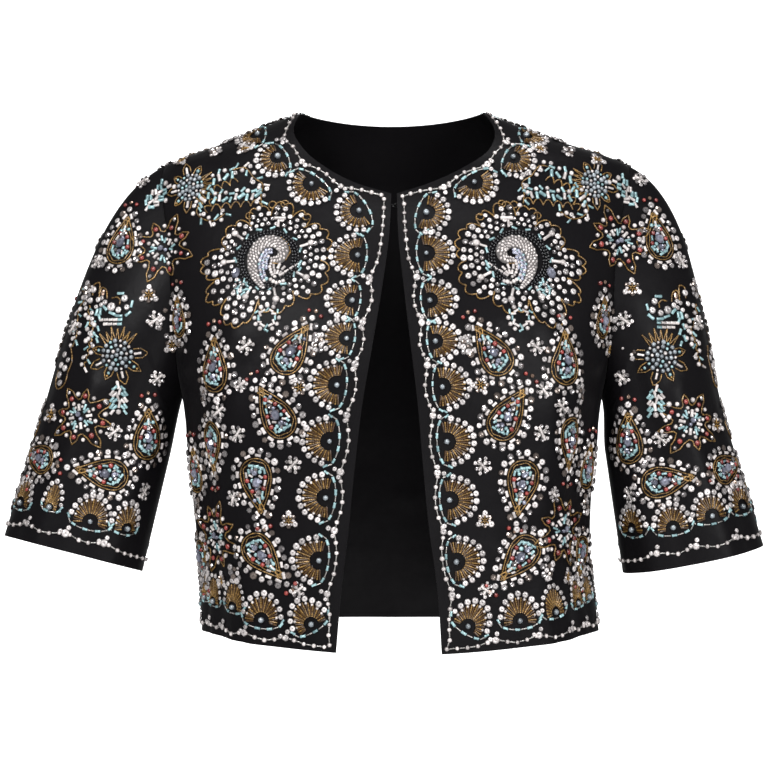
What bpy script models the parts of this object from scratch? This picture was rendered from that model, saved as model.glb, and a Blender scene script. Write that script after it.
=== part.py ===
"""A cropped evening jacket with a round neck and set-in elbow sleeves, worn open.

Every panel is a thin closed wall of cloth in the shape that it has when worn. Metres, +Z up.
The wearer faces -Y, so the wearer's left is at +X. The origin lies midway between the two
neck points, where the shoulder seams meet the neckline and the wearer's shoulders carry it.
"""

import math
from collections import namedtuple

import bpy
import numpy as np

MM = 0.001
QUARTER = math.pi / 2
SHARP_ANGLE = math.radians(50)

# Cloth
WALL = 1.6 * MM
SEAM_INSET = 0.2 * MM
SLEEVE_CLEARANCE = 0.45 * MM

# Torso sections in millimetres: half width, depth to the front and to the back, how square the
# corners are, how far the section hangs to the wearer's left, and how much further out the
# left shoulder reaches
Section = namedtuple("Section", "height half_width front back square sway left_extra")
TORSO = [
    Section(0, 84, 34, 52, 0.00, 0, 0),
    Section(-8, 104, 39, 58, 0.00, 0, 0),
    Section(-16, 124, 43, 63, 0.00, 0, 0),
    Section(-28, 153, 49, 69, 0.01, 0, 4),
    Section(-40, 186, 56, 74, 0.02, 0, 9),
    Section(-48, 205, 60, 77, 0.03, 0, 9),
    Section(-60, 214, 65, 82, 0.03, 0, 7),
    Section(-80, 218, 73, 88, 0.04, 0, 4),
    Section(-120, 217, 93, 98, 0.06, 0, 1),
    Section(-170, 212, 112, 104, 0.08, 0, 0),
    Section(-220, 202, 125, 104, 0.09, 0, 0),
    Section(-262, 192, 129, 101, 0.10, 0, 0),
    Section(-302, 187, 128, 98, 0.10, 0, 0),
    Section(-357, 181, 125, 95, 0.10, 0, 0),
    Section(-412, 178, 123, 94, 0.10, 2.5, 0),
    Section(-467, 180, 122, 96, 0.10, 7, 0),
    Section(-500, 182, 122, 97, 0.10, 9, 0),
]

# Heights of the main lines, in millimetres
SHOULDER_POINT = -48
UNDERARM = -262
FRONT_NECK = -80
BACK_NECK_DIP = 8
SIDE_HEM = -472.5
FRONT_HEM_DROP = 15
LOWEST_NORMAL = -499
HEM_CORNER_ANGLE = 0.25  # section angle of the front corner of the hem, near enough for its height

# Rays from the middle of the chest through a panel's points: how far along them, as shares, the
# torso's surface is looked for
HULL_MIDDLE = np.array([0, 0, -170])
RAY_NEAR, RAY_FAR = 0.3, 1.7
RAY_HALVINGS = 50

# Armhole: how far it cuts in from the side, as an angle of the section
ARMHOLE_IN_FRONT = math.radians(27)
ARMHOLE_IN_BACK = math.radians(24)

# Front neckline between the front corner and the neck point: distance from the middle on the
# wearer's right and left, and height
NeckPoint = namedtuple("NeckPoint", "right left height")
FRONT_NECKLINE = [
    NeckPoint(34, 34, -69.5),
    NeckPoint(59, 61, -56),
    NeckPoint(80, 84, -38),
    NeckPoint(90, 93, -18),
    NeckPoint(84, 84, 0),
]

# Front edges: distance from the middle at each height, for the wearer's right and left front
EdgePoint = namedtuple("EdgePoint", "height right left")
FRONT_EDGE = [
    EdgePoint(-80, 0.9, 4.2),
    EdgePoint(-114, 2.7, 5.3),
    EdgePoint(-168, 9.7, 10.6),
    EdgePoint(-220, 18.4, 16.7),
    EdgePoint(-273, 27.2, 22.8),
    EdgePoint(-325, 33.3, 27.2),
    EdgePoint(-378, 38.6, 32.4),
    EdgePoint(-430, 44.7, 39.5),
    EdgePoint(-488, 49.8, 43.4),
]

# Folds of the torso: ridges (+) and troughs (-) along straight lines of the section angle
# (degrees from the middle of the front or back) and height, width and rise in millimetres
Fold = namedtuple("Fold", "half side angle_0 height_0 angle_1 height_1 width rise")
FOLDS = [
    Fold("front", 0, 44, -250, 42, -560, 17, 5.0),
    Fold("front", 0, 57, -262, 56, -560, 14, -3.0),
    Fold("front", -1, 38, -205, 47, -250, 11, 3.0),
    Fold("front", 1, 36, -200, 50, -262, 12, 3.5),
    Fold("front", 0, 70, -300, 74, -560, 14, 2.0),
    Fold("back", 0, 40, -230, 38, -560, 22, 3.5),
    Fold("back", 0, 62, -270, 60, -560, 18, -2.5),
    Fold("back", 0, 12, -330, 15, -560, 26, 2.5),
]
FOLD_RADIUS = 150  # millimetres of cloth for one radian of section angle

# Sleeves in millimetres: the ring at the lower end of the sleeve head, then the cuff ring, its
# tilt in degrees and how much higher its front hangs
Sleeve = namedtuple(
    "Sleeve",
    "side elbow_out elbow_height elbow_half cuff_out cuff_height cuff_half tilt front_rise",
)
SLEEVES = {
    "right": Sleeve(-1, 263.5, -300, 61.5, 291.5, -405, 65, 14.5, 4.5),
    "left": Sleeve(1, 251.5, -300, 57.0, 275.3, -409.5, 65.4, 11.3, -1.5),
}
ELBOW_FORWARD = 5
CUFF_FORWARD = 13
ELBOW_DEPTH = 55
CUFF_DEPTH = 53
HEAD_FULLNESS = 0.85  # length of the sleeve head's tangents, as a share of its chord

# Directions in which the sleeve leaves the armhole: outward, forward and up
Leave = namedtuple("Leave", "turn outward forward up")
SLEEVE_LEAVES = [
    Leave(0, 0.93, 0.00, -0.37),
    Leave(45, 0.88, 0.06, -0.47),
    Leave(90, 0.74, 0.16, -0.66),
    Leave(135, 0.52, 0.10, -0.85),
    Leave(180, 0.30, 0.00, -0.95),
    Leave(225, 0.52, -0.10, -0.85),
    Leave(270, 0.74, -0.16, -0.66),
    Leave(315, 0.88, -0.06, -0.47),
]

# Sleeve folds: ridges (+) and troughs (-) round the sleeve (degrees, 0 at the outside and 90 at
# the front), from one share of its length to another
SleeveFold = namedtuple("SleeveFold", "turn_0 along_0 turn_1 along_1 width rise")
SLEEVE_FOLDS = [
    SleeveFold(112, 0.25, 100, 1.00, 9, -3.5),
    SleeveFold(138, 0.30, 128, 1.00, 9, 3.0),
    SleeveFold(75, 0.50, 62, 1.10, 10, 2.5),
    SleeveFold(40, 0.62, 36, 1.15, 9, -2.0),
    SleeveFold(250, 0.25, 262, 1.00, 10, -3.5),
    SleeveFold(225, 0.35, 235, 1.05, 10, 2.5),
    SleeveFold(300, 0.50, 312, 1.15, 11, 2.0),
]
SLEEVE_DEGREE = 1.05  # millimetres of cloth for one degree round the sleeve
SLEEVE_LENGTH = 330  # millimetres from the shoulder point to the cuff
FOLDS_BEGIN = 0.12  # share of the length below which the folds start to show
FOLDS_GROW = 0.2  # share of the length over which they reach their full rise

# Cells in the grids that the walls are made from
COLUMNS_NECK = 8
COLUMNS_SHOULDER = 10
ROWS_SKIRT = 14
ROWS_ARMHOLE = 14
RINGS_HEAD = 12
RINGS_LOWER = 6

# Padded curl at the middle of each front's large medallion, in millimetres: the middle line of
# a comma that starts at its rolled head, outward and up from the medallion's middle
MEDALLION_OUT = 110.5
MEDALLION_HEIGHT = -139
CurlPoint = namedtuple("CurlPoint", "out up half_width")
CURL = [
    CurlPoint(-4.0, -1.5, 2.2),
    CurlPoint(-11.5, 0.0, 4.2),
    CurlPoint(-14.0, 7.5, 5.2),
    CurlPoint(-8.5, 14.0, 5.6),
    CurlPoint(0.0, 15.0, 5.8),
    CurlPoint(8.0, 10.5, 5.6),
    CurlPoint(12.5, 2.0, 5.2),
    CurlPoint(13.0, -8.0, 4.6),
    CurlPoint(9.5, -18.0, 3.6),
    CurlPoint(3.0, -26.5, 1.8),
]
CURL_RISE = 2.6  # where the curl is CURL_FULL wide from its middle line
CURL_FULL = 6
CURL_RIM = 0.5
CURL_LIFT = 0.3
CURL_STEPS = 36
CURL_ACROSS = 6

# Hook and eye at the neck, in millimetres; depths are measured behind the cloth
HOOK_HEIGHT = -89
HOOK_WIRE = 0.45
WirePoint = namedtuple("WirePoint", "across up depth")
HOOK = [
    WirePoint(-9.0, 0, 0.8),
    WirePoint(-4.0, 0, 0.8),
    WirePoint(1.6, 0, 0.7),
    WirePoint(2.9, 0, 1.15),
    WirePoint(3.4, 0, 2.1),
    WirePoint(2.9, 0, 3.05),
    WirePoint(1.6, 0, 3.5),
    WirePoint(0.2, 0, 3.4),
]
EYE_HALF = [
    WirePoint(11.0, 2.3, 0.8),
    WirePoint(7.0, 2.3, 0.9),
    WirePoint(4.4, 2.1, 1.6),
    WirePoint(2.9, 1.6, 2.1),
    WirePoint(2.1, 0.8, 2.1),
]
EYE_MIDDLE = WirePoint(1.8, 0, 2.1)

SATIN = (0.012, 0.011, 0.013, 1)
BEADS = (0.80, 0.79, 0.77, 1)
BLACK_METAL = (0.02, 0.02, 0.02, 1)


def clear_scene():
    for thing in list(bpy.data.objects):
        bpy.data.objects.remove(thing)


def smooth(table, column, height):
    """A column of a table as a smooth function of height, as a cubic through its rows."""
    rows = sorted(table, key=lambda row: row.height)
    at = np.array([row.height for row in rows], float)
    value = np.array([getattr(row, column) for row in rows], float)
    slope = np.gradient(value, at)
    h = np.clip(height, at[0], at[-1])
    i = np.clip(np.searchsorted(at, h) - 1, 0, len(at) - 2)
    step = at[i + 1] - at[i]
    t = (h - at[i]) / step
    return (
        (2 * t**3 - 3 * t**2 + 1) * value[i]
        + (t**3 - 2 * t**2 + t) * step * slope[i]
        + (3 * t**2 - 2 * t**3) * value[i + 1]
        + (t**3 - t**2) * step * slope[i + 1]
    )


def along_curve(points, shares):
    """Points at the given shares of a smooth curve through a few points, by chord length."""
    points = np.asarray(points, float)
    length = np.concatenate([[0], np.cumsum(np.linalg.norm(np.diff(points, axis=0), axis=1))])
    slope = np.gradient(points, length, axis=0)
    s = np.asarray(shares, float) * length[-1]
    i = np.clip(np.searchsorted(length, s) - 1, 0, len(length) - 2)
    step = (length[i + 1] - length[i])[:, None]
    t = (s[:, None] - length[i][:, None]) / step
    return (
        (2 * t**3 - 3 * t**2 + 1) * points[i]
        + (t**3 - 2 * t**2 + t) * step * slope[i]
        + (3 * t**2 - 2 * t**3) * points[i + 1]
        + (t**3 - t**2) * step * slope[i + 1]
    )


def fold_rise(u, v, folds):
    """Sum of the folds at points (u, v) of the flat cloth; each fold is a soft line segment."""
    total = np.zeros(np.broadcast(u, v).shape)
    for u0, v0, u1, v1, width, rise in folds:
        du, dv = u1 - u0, v1 - v0
        t = np.clip(((u - u0) * du + (v - v0) * dv) / (du * du + dv * dv), 0, 1)
        away = np.hypot(u - u0 - t * du, v - v0 - t * dv)
        total = total + rise * np.exp(-((away / width) ** 2))
    return total


def torso_folds(half, side):
    """The folds of one quarter of the torso, in millimetres round and up."""
    unit = math.radians(1) * FOLD_RADIUS
    return [
        (f.angle_0 * unit, f.height_0, f.angle_1 * unit, f.height_1, f.width, f.rise)
        for f in FOLDS
        if f.half == half and f.side in (0, side)
    ]


def hull_point(half, angle, height):
    """The even form of the torso in millimetres, on the wearer's left, without its folds."""
    corner = 1 + smooth(TORSO, "square", height) * np.sin(2 * angle) ** 2
    x = smooth(TORSO, "half_width", height) * np.sin(angle) * corner
    y = smooth(TORSO, half, height) * np.cos(angle) * corner * (-1 if half == "front" else 1)
    return np.stack([x, y, height + 0 * angle], axis=-1)


def onto_hull(half, points):
    """Angle and height where rays from the middle of the chest through points leave the hull."""
    rays = points - HULL_MIDDLE
    near, far = np.full(rays.shape[:-1], RAY_NEAR), np.full(rays.shape[:-1], RAY_FAR)
    for _ in range(RAY_HALVINGS):
        share = (near + far) / 2
        x, y, height = np.moveaxis(HULL_MIDDLE + rays * share[..., None], -1, 0)
        over = x / smooth(TORSO, "half_width", height)
        out = np.abs(y) / smooth(TORSO, half, height)
        angle = np.arctan2(over, out)
        corner = 1 + smooth(TORSO, "square", height) * np.sin(2 * angle) ** 2
        outside = (np.hypot(over, out) > corner) | (height > 0)
        near, far = np.where(outside, near, share), np.where(outside, share, far)
    return np.stack([angle, height], axis=-1)


def torso_point(half, side, angle, height):
    """Outer surface of the torso in millimetres; the angle runs from the middle to the side."""
    x, y, _ = np.moveaxis(hull_point(half, angle, height), -1, 0)
    rise = fold_rise(angle * FOLD_RADIUS, height, torso_folds(half, side))
    swell = 1 + rise / np.hypot(x, y)
    sway = smooth(TORSO, "sway", height)
    if side > 0:
        x = x * (1 + smooth(TORSO, "left_extra", height) / smooth(TORSO, "half_width", height))
    return np.stack([x * swell * side + sway, y * swell, height + 0 * angle], axis=-1)


def torso_normal(half, side, angle, height):
    """Unit normal of the torso's outer surface, pointing away from the wearer."""
    small_turn, small_rise = 1e-3, 0.05
    level = np.clip(height, LOWEST_NORMAL, -small_rise)
    turn = np.minimum(angle, QUARTER)
    across = torso_point(half, side, turn + small_turn, level) - torso_point(
        half, side, turn - small_turn, level
    )
    up = torso_point(half, side, turn, level + small_rise) - torso_point(
        half, side, turn, level - small_rise
    )
    normal = np.cross(across, up)
    if (half == "front") != (side > 0):
        normal = -normal
    return normal / np.linalg.norm(normal, axis=-1, keepdims=True)


def angle_across(half, across, height):
    """The section angle at which the torso lies a given distance from the middle."""
    angle = np.arcsin(np.clip(across / smooth(TORSO, "half_width", height), -1, 1))
    for _ in range(4):
        corner = 1 + smooth(TORSO, "square", height) * np.sin(2 * angle) ** 2
        share = across / (smooth(TORSO, "half_width", height) * corner)
        angle = np.arcsin(np.clip(share, -1, 1))
    return angle


def armhole(half, turn):
    """Angle and height of the armhole; the turn is 0 at the shoulder and pi at the underarm."""
    cut_in = ARMHOLE_IN_FRONT if half == "front" else ARMHOLE_IN_BACK
    middle = (SHOULDER_POINT + UNDERARM) / 2
    reach = (SHOULDER_POINT - UNDERARM) / 2
    return np.stack([QUARTER - cut_in * np.sin(turn), middle + reach * np.cos(turn)], axis=-1)


def patch(bottom, top, left, right):
    """Fills four boundary curves, as a Coons patch; rows run from the bottom to the top."""
    u = np.linspace(0, 1, len(bottom))[None, :, None]
    v = np.linspace(0, 1, len(left))[:, None, None]
    ruled_up = (1 - v) * bottom[None] + v * top[None]
    ruled_over = (1 - u) * left[:, None] + u * right[:, None]
    corners = (
        (1 - u) * (1 - v) * bottom[0]
        + u * (1 - v) * bottom[-1]
        + (1 - u) * v * top[0]
        + u * v * top[-1]
    )
    return ruled_up + ruled_over - corners


def front_edge(side, height):
    """Distance of a front's edge from the middle, in millimetres."""
    sway = smooth(TORSO, "sway", height)
    return smooth(FRONT_EDGE, "left" if side > 0 else "right", height) - side * sway


def inner_boundary(half, side, heights):
    """The panel's line nearest the middle: the front edge, or the middle of the back."""
    if half == "back":
        return np.stack([0 * heights, heights], axis=-1)
    return np.stack(
        [angle_across(half, front_edge(side, heights), heights), heights], axis=-1
    )


def hem_height(half, angle):
    drop = FRONT_HEM_DROP if half == "front" else 0
    return SIDE_HEM - drop * np.cos(angle) ** 3


def top_boundary(half, side):
    """Neckline from the middle to the neck point, then the shoulder seam to the armhole."""
    shares = np.linspace(0, 1, COLUMNS_NECK + 1)
    if half == "front":
        line = [(front_edge(side, float(FRONT_NECK)), FRONT_NECK)]
        line += [(p.left if side > 0 else p.right, p.height) for p in FRONT_NECKLINE]
        neck = along_curve(line, shares)
        across, height = neck[:, 0], neck[:, 1]
    else:
        across = TORSO[0].half_width * np.sin(shares * QUARTER)
        height = -BACK_NECK_DIP * (1 - (across / TORSO[0].half_width) ** 2)
    neckline = np.stack([angle_across(half, across, height), height], axis=-1)
    neckline[-1] = (QUARTER, 0)
    down = np.linspace(0, SHOULDER_POINT, COLUMNS_SHOULDER + 1)[1:]
    seam = np.stack([0 * down + QUARTER, down], axis=-1)
    return np.concatenate([neckline, seam])


def panel_layout(half, side):
    """Grid of (angle, height) over a panel, from the hem to the shoulder."""
    shares = np.linspace(0, 1, COLUMNS_NECK + COLUMNS_SHOULDER + 1)

    def fill(bottom, top, left, right):
        edges = (hull_point(half, edge[:, 0], edge[:, 1]) for edge in (bottom, top, left, right))
        grid = onto_hull(half, patch(*edges))
        grid[0], grid[-1], grid[:, 0], grid[:, -1] = bottom, top, left, right
        return grid

    start = inner_boundary(half, side, np.array([float(UNDERARM)]))[0, 0]
    chest = np.stack([start + (QUARTER - start) * shares, 0 * shares + UNDERARM], axis=-1)

    hem_start = inner_boundary(half, side, np.array([hem_height(half, HEM_CORNER_ANGLE)]))[0, 0]
    hem_angle = hem_start + (QUARTER - hem_start) * shares
    hem = np.stack([hem_angle, hem_height(half, hem_angle)], axis=-1)
    rows = np.linspace(0, 1, ROWS_SKIRT + 1)
    edge_heights = hem[0, 1] + (UNDERARM - hem[0, 1]) * rows
    side_heights = hem[-1, 1] + (UNDERARM - hem[-1, 1]) * rows
    lower = fill(
        hem,
        chest,
        inner_boundary(half, side, edge_heights),
        np.stack([0 * side_heights + QUARTER, side_heights], axis=-1),
    )

    top = top_boundary(half, side)
    up = np.linspace(UNDERARM, top[0, 1], ROWS_ARMHOLE + 1)
    around = np.linspace(math.pi, 0, ROWS_ARMHOLE + 1)
    upper = fill(chest, top, inner_boundary(half, side, up), armhole(half, around))
    return np.concatenate([lower, upper[1:]])


def draw_in(points, inset):
    """Moves the outer rows and columns of a grid of points towards the inside."""
    result = points.copy()
    for edge, inner in ((0, 1), (-1, -2)):
        step = points[inner] - points[edge]
        result[edge] += inset * step / np.linalg.norm(step, axis=-1, keepdims=True)
        step = points[:, inner] - points[:, edge]
        result[:, edge] += inset * step / np.linalg.norm(step, axis=-1, keepdims=True)
    return result


def wall_mesh(name, outer, normals, ring=False, flip=False):
    """A closed wall of cloth: a grid of outer points in metres, thickened to the inside."""
    rows, columns = outer.shape[:2]
    inner = outer - normals * WALL
    points = np.concatenate([outer.reshape(-1, 3), inner.reshape(-1, 3)])
    count = rows * columns

    def vertex(row, column, layer):
        return layer * count + row * columns + column % columns

    faces = []
    last = columns if ring else columns - 1
    for row in range(rows - 1):
        for column in range(last):
            corners = [(row, column), (row, column + 1), (row + 1, column + 1), (row + 1, column)]
            ends = [outer[r, c % columns] for r, c in corners]
            if np.linalg.norm(ends[2] - ends[0]) > np.linalg.norm(ends[3] - ends[1]):
                corners = corners[1:] + corners[:1]
            for three in ((0, 1, 2), (0, 2, 3)):
                faces.append([vertex(*corners[k], 0) for k in three])
                faces.append([vertex(*corners[k], 1) for k in reversed(three)])
    for row, turned in ((0, False), (rows - 1, True)):
        for column in range(last):
            face = [
                vertex(row, column, 0),
                vertex(row, column, 1),
                vertex(row, column + 1, 1),
                vertex(row, column + 1, 0),
            ]
            faces.append(face[::-1] if turned else face)
    if not ring:
        for column, turned in ((0, True), (columns - 1, False)):
            for row in range(rows - 1):
                face = [
                    vertex(row, column, 0),
                    vertex(row, column, 1),
                    vertex(row + 1, column, 1),
                    vertex(row + 1, column, 0),
                ]
                faces.append(face[::-1] if turned else face)
    if flip:
        faces = [face[::-1] for face in faces]
    mesh = bpy.data.meshes.new(name)
    mesh.from_pydata([tuple(p) for p in points], [], faces)
    mesh.validate()
    mesh.shade_smooth()
    mesh.set_sharp_from_angle(angle=SHARP_ANGLE)
    return mesh


def place(name, data, material):
    thing = bpy.data.objects.new(name, data)
    bpy.context.scene.collection.objects.link(thing)
    data.materials.append(material)
    return thing


def finish(name, colour, roughness, metallic):
    material = bpy.data.materials.new(name)
    material.use_nodes = True
    shader = material.node_tree.nodes["Principled BSDF"]
    shader.inputs["Base Color"].default_value = colour
    shader.inputs["Roughness"].default_value = roughness
    shader.inputs["Metallic"].default_value = metallic
    return material


def quarter_grid(half, side):
    """Outer points in metres and normals of one front, or of one half of the back."""
    layout = panel_layout(half, side)
    angle, height = layout[..., 0], layout[..., 1]
    return torso_point(half, side, angle, height) * MM, torso_normal(half, side, angle, height)


def make_fronts(satin):
    for name, side in (("front_right", -1), ("front_left", 1)):
        points, normals = quarter_grid("front", side)
        mesh = wall_mesh(name, draw_in(points, SEAM_INSET), normals, flip=side < 0)
        place(name, mesh, satin)


def make_back(satin):
    left_points, left_normals = quarter_grid("back", 1)
    right_points, right_normals = quarter_grid("back", -1)
    points = np.concatenate([left_points[:, ::-1], right_points[:, 1:]], axis=1)
    normals = np.concatenate([left_normals[:, ::-1], right_normals[:, 1:]], axis=1)
    place("back", wall_mesh("back", draw_in(points, SEAM_INSET), normals), satin)


def armhole_ring(side):
    """Points of the armhole seam all round, and the directions away from and off the torso."""
    turns = np.linspace(0, 2 * math.pi, 2 * ROWS_ARMHOLE, endpoint=False)
    points, normals = np.zeros((len(turns), 3)), np.zeros((len(turns), 3))
    for half, chosen in (("front", turns <= math.pi), ("back", turns > math.pi)):
        turn = turns[chosen] if half == "front" else 2 * math.pi - turns[chosen]
        place_on = armhole(half, turn)
        points[chosen] = torso_point(half, side, place_on[:, 0], place_on[:, 1])
        normals[chosen] = torso_normal(half, side, place_on[:, 0], place_on[:, 1])
    along = np.roll(points, -1, axis=0) - np.roll(points, 1, axis=0)
    away = np.cross(normals, along) * side
    away /= np.linalg.norm(away, axis=1, keepdims=True)
    return turns, points, normals, away


def leaving_direction(side, turns):
    """The direction in which the sleeve leaves the armhole at each turn."""
    step = 2 * math.pi / len(SLEEVE_LEAVES)
    rows = np.array([(side * s.outward, -s.forward, s.up) for s in SLEEVE_LEAVES])
    i = np.floor(turns / step).astype(int)
    t = (turns / step - i)[:, None]
    t = t * t * (3 - 2 * t)
    n = len(rows)
    mixed = rows[i % n] * (1 - t) + rows[(i + 1) % n] * t
    return mixed / np.linalg.norm(mixed, axis=1, keepdims=True)


def sleeve_ring(sleeve, turns, out, height, half, depth, forward):
    """A ring of the sleeve across its tilted axis."""
    tilt = math.radians(sleeve.tilt)
    x = out + half * np.cos(turns) * math.cos(tilt)
    z = height + half * np.cos(turns) * math.sin(tilt) + sleeve.front_rise * np.sin(turns)
    y = -forward - depth * np.sin(turns)
    return np.stack([x * sleeve.side, y, z], axis=-1)


def sleeve_points(sleeve, head_shares, lower_shares):
    """Rings of the sleeve in millimetres, from the armhole to the cuff, before its folds."""
    turns, seam, normals, away = armhole_ring(sleeve.side)
    elbow = sleeve_ring(
        sleeve, turns, sleeve.elbow_out, sleeve.elbow_height, sleeve.elbow_half,
        ELBOW_DEPTH, ELBOW_FORWARD,
    )
    cuff = sleeve_ring(
        sleeve, turns, sleeve.cuff_out, sleeve.cuff_height, sleeve.cuff_half,
        CUFF_DEPTH, CUFF_FORWARD,
    )
    low = ((1 - np.cos(turns)) / 2)[:, None]
    lift = normals * low + away * (1 - low)
    start = seam + lift / np.linalg.norm(lift, axis=1, keepdims=True) * SLEEVE_CLEARANCE / MM
    chord = np.linalg.norm(elbow - start, axis=1, keepdims=True) * HEAD_FULLNESS
    leave = leaving_direction(sleeve.side, turns) * chord
    arrive = cuff - elbow
    arrive = arrive / np.linalg.norm(arrive, axis=1, keepdims=True) * chord
    rings = []
    for t in head_shares:
        rings.append(
            (2 * t**3 - 3 * t**2 + 1) * start
            + (t**3 - 2 * t**2 + t) * leave
            + (3 * t**2 - 2 * t**3) * elbow
            + (t**3 - t**2) * arrive
        )
    for t in lower_shares:
        rings.append(elbow + (cuff - elbow) * t)
    return turns, np.array(rings)


def ring_normals(points, side):
    """Outward normals of a tube of rings."""
    around = np.roll(points, -1, axis=1) - np.roll(points, 1, axis=1)
    down = np.gradient(points, axis=0)
    normal = np.cross(around, down) * side
    return normal / np.linalg.norm(normal, axis=-1, keepdims=True)


def sleeve_rise(turns, shares):
    """Folds over the sleeve: degrees round it against its length, both in millimetres."""
    folds = [
        (f.turn_0 * SLEEVE_DEGREE, f.along_0 * SLEEVE_LENGTH,
         f.turn_1 * SLEEVE_DEGREE, f.along_1 * SLEEVE_LENGTH, f.width, f.rise)
        for f in SLEEVE_FOLDS
    ]
    around = np.degrees(turns)[None, :] * SLEEVE_DEGREE
    along = np.asarray(shares)[:, None] * SLEEVE_LENGTH
    fade_in = np.clip((np.asarray(shares)[:, None] - FOLDS_BEGIN) / FOLDS_GROW, 0, 1)
    return fold_rise(around, along, folds) * fade_in


def make_sleeves(satin):
    head = np.linspace(0, 1, RINGS_HEAD + 1)
    lower = np.linspace(0, 1, RINGS_LOWER + 1)[1:]
    shares = np.linspace(0, 1, len(head) + len(lower))
    for name, sleeve in SLEEVES.items():
        turns, points = sleeve_points(sleeve, head, lower)
        normals = ring_normals(points, sleeve.side)
        points = points + normals * sleeve_rise(turns, shares)[..., None]
        normals = ring_normals(points, sleeve.side)
        mesh = wall_mesh(
            "sleeve_" + name, points * MM, normals, ring=True, flip=sleeve.side < 0
        )
        place("sleeve_" + name, mesh, satin)


def front_point(side, across, height, lift):
    """A point a given distance off a front's outer face, in millimetres."""
    angle = angle_across("front", np.asarray(across, float), np.asarray(height, float))
    surface = torso_point("front", side, angle, height)
    return surface + torso_normal("front", side, angle, height) * lift


def curl_mesh(name, side):
    """A padded curl: a tapered comma-shaped ribbon, domed across its width."""
    line = along_curve(np.array(CURL), np.linspace(0, 1, CURL_STEPS + 1))
    ahead = np.gradient(line[:, :2], axis=0)
    ahead /= np.linalg.norm(ahead, axis=1, keepdims=True)
    across = np.linspace(-1, 1, CURL_ACROSS + 1)[None, :]
    half_width = line[:, 2:3]
    out = MEDALLION_OUT + line[:, 0:1] + ahead[:, 1:2] * half_width * across
    height = MEDALLION_HEIGHT + line[:, 1:2] - ahead[:, 0:1] * half_width * across
    dome = CURL_RISE * np.sqrt(np.clip(1 - across**2, 0, 1)) * np.sqrt(half_width / CURL_FULL)
    top = front_point(side, out, height, (CURL_LIFT + CURL_RIM + dome)[..., None])
    bottom = front_point(side, out, height, CURL_LIFT)
    rows, columns = top.shape[:2]
    count = rows * columns
    points = np.concatenate([top.reshape(-1, 3), bottom.reshape(-1, 3)]) * MM
    faces = []
    for row in range(rows - 1):
        for column in range(columns - 1):
            a = row * columns + column
            quad = [a, a + 1, a + columns + 1, a + columns]
            faces.append(quad)
            faces.append([count + v for v in reversed(quad)])
    border = [c for c in range(columns)]
    border += [r * columns + columns - 1 for r in range(1, rows)]
    border += [(rows - 1) * columns + c for c in range(columns - 2, -1, -1)]
    border += [r * columns for r in range(rows - 2, 0, -1)]
    for a, b in zip(border, border[1:] + border[:1]):
        faces.append([b, a, count + a, count + b])
    if side < 0:
        faces = [face[::-1] for face in faces]
    mesh = bpy.data.meshes.new(name)
    mesh.from_pydata([tuple(p) for p in points], [], faces)
    mesh.shade_smooth()
    mesh.set_sharp_from_angle(angle=SHARP_ANGLE)
    return mesh


def make_curls(beads):
    for name, side in (("medallion_curl_right", -1), ("medallion_curl_left", 1)):
        place(name, curl_mesh(name, side), beads)


def wire(name, path, material):
    """A bent wire through a few points behind the fronts' cloth, with closed ends."""
    behind = [
        front_point(
            1 if p.across >= 0 else -1, abs(p.across), HOOK_HEIGHT + p.up, -WALL / MM - p.depth
        )
        for p in path
    ]
    points = along_curve(np.array(behind), np.linspace(0, 1, 3 * len(path))) * MM
    curve = bpy.data.curves.new(name, "CURVE")
    curve.dimensions = "3D"
    curve.bevel_depth = HOOK_WIRE * MM
    curve.bevel_resolution = 2
    curve.use_fill_caps = True
    spline = curve.splines.new("POLY")
    spline.points.add(len(points) - 1)
    for knot, point in zip(spline.points, points):
        knot.co = (*point, 1)
    return place(name, curve, material)


def make_hook_and_eye(metal):
    lower_half = [WirePoint(p.across, -p.up, p.depth) for p in reversed(EYE_HALF)]
    wire("hook", HOOK, metal)
    wire("eye", [*EYE_HALF, EYE_MIDDLE, *lower_half], metal)


def main():
    clear_scene()
    satin = finish("satin", SATIN, 0.38, 0.0)
    beads = finish("beads", BEADS, 0.25, 0.1)
    metal = finish("black_metal", BLACK_METAL, 0.35, 0.9)
    make_fronts(satin)
    make_back(satin)
    make_sleeves(satin)
    make_curls(beads)
    make_hook_and_eye(metal)


main()
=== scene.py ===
"""The beaded evening jacket as it looks: thin satin over its solids, and the beadwork on it.

The cloth follows the same surfaces as the solids, on a finer grid and with more creases. Each
motif is laid out flat in millimetres and dropped onto the cloth, bead by bead. Where the front
view shows a motif, its place is that view's pixel, found again through the same camera.
"""

import math
from collections import namedtuple

import bpy
import numpy as np
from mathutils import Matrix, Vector
from mathutils.bvhtree import BVHTree

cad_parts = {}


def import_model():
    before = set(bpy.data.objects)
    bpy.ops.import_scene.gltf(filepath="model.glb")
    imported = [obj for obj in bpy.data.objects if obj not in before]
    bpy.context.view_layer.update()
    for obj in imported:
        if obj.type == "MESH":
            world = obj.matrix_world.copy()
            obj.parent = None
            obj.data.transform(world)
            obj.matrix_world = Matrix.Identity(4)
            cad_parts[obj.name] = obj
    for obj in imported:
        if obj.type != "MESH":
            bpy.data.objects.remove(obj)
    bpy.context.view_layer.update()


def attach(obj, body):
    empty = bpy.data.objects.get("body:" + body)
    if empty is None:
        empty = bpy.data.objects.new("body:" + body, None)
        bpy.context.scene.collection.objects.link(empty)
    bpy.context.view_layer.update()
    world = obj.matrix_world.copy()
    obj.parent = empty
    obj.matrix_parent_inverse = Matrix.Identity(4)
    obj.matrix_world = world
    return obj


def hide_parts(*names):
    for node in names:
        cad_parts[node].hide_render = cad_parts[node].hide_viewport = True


MM = 0.001
QUARTER = math.pi / 2
TURN = 2 * math.pi

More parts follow.
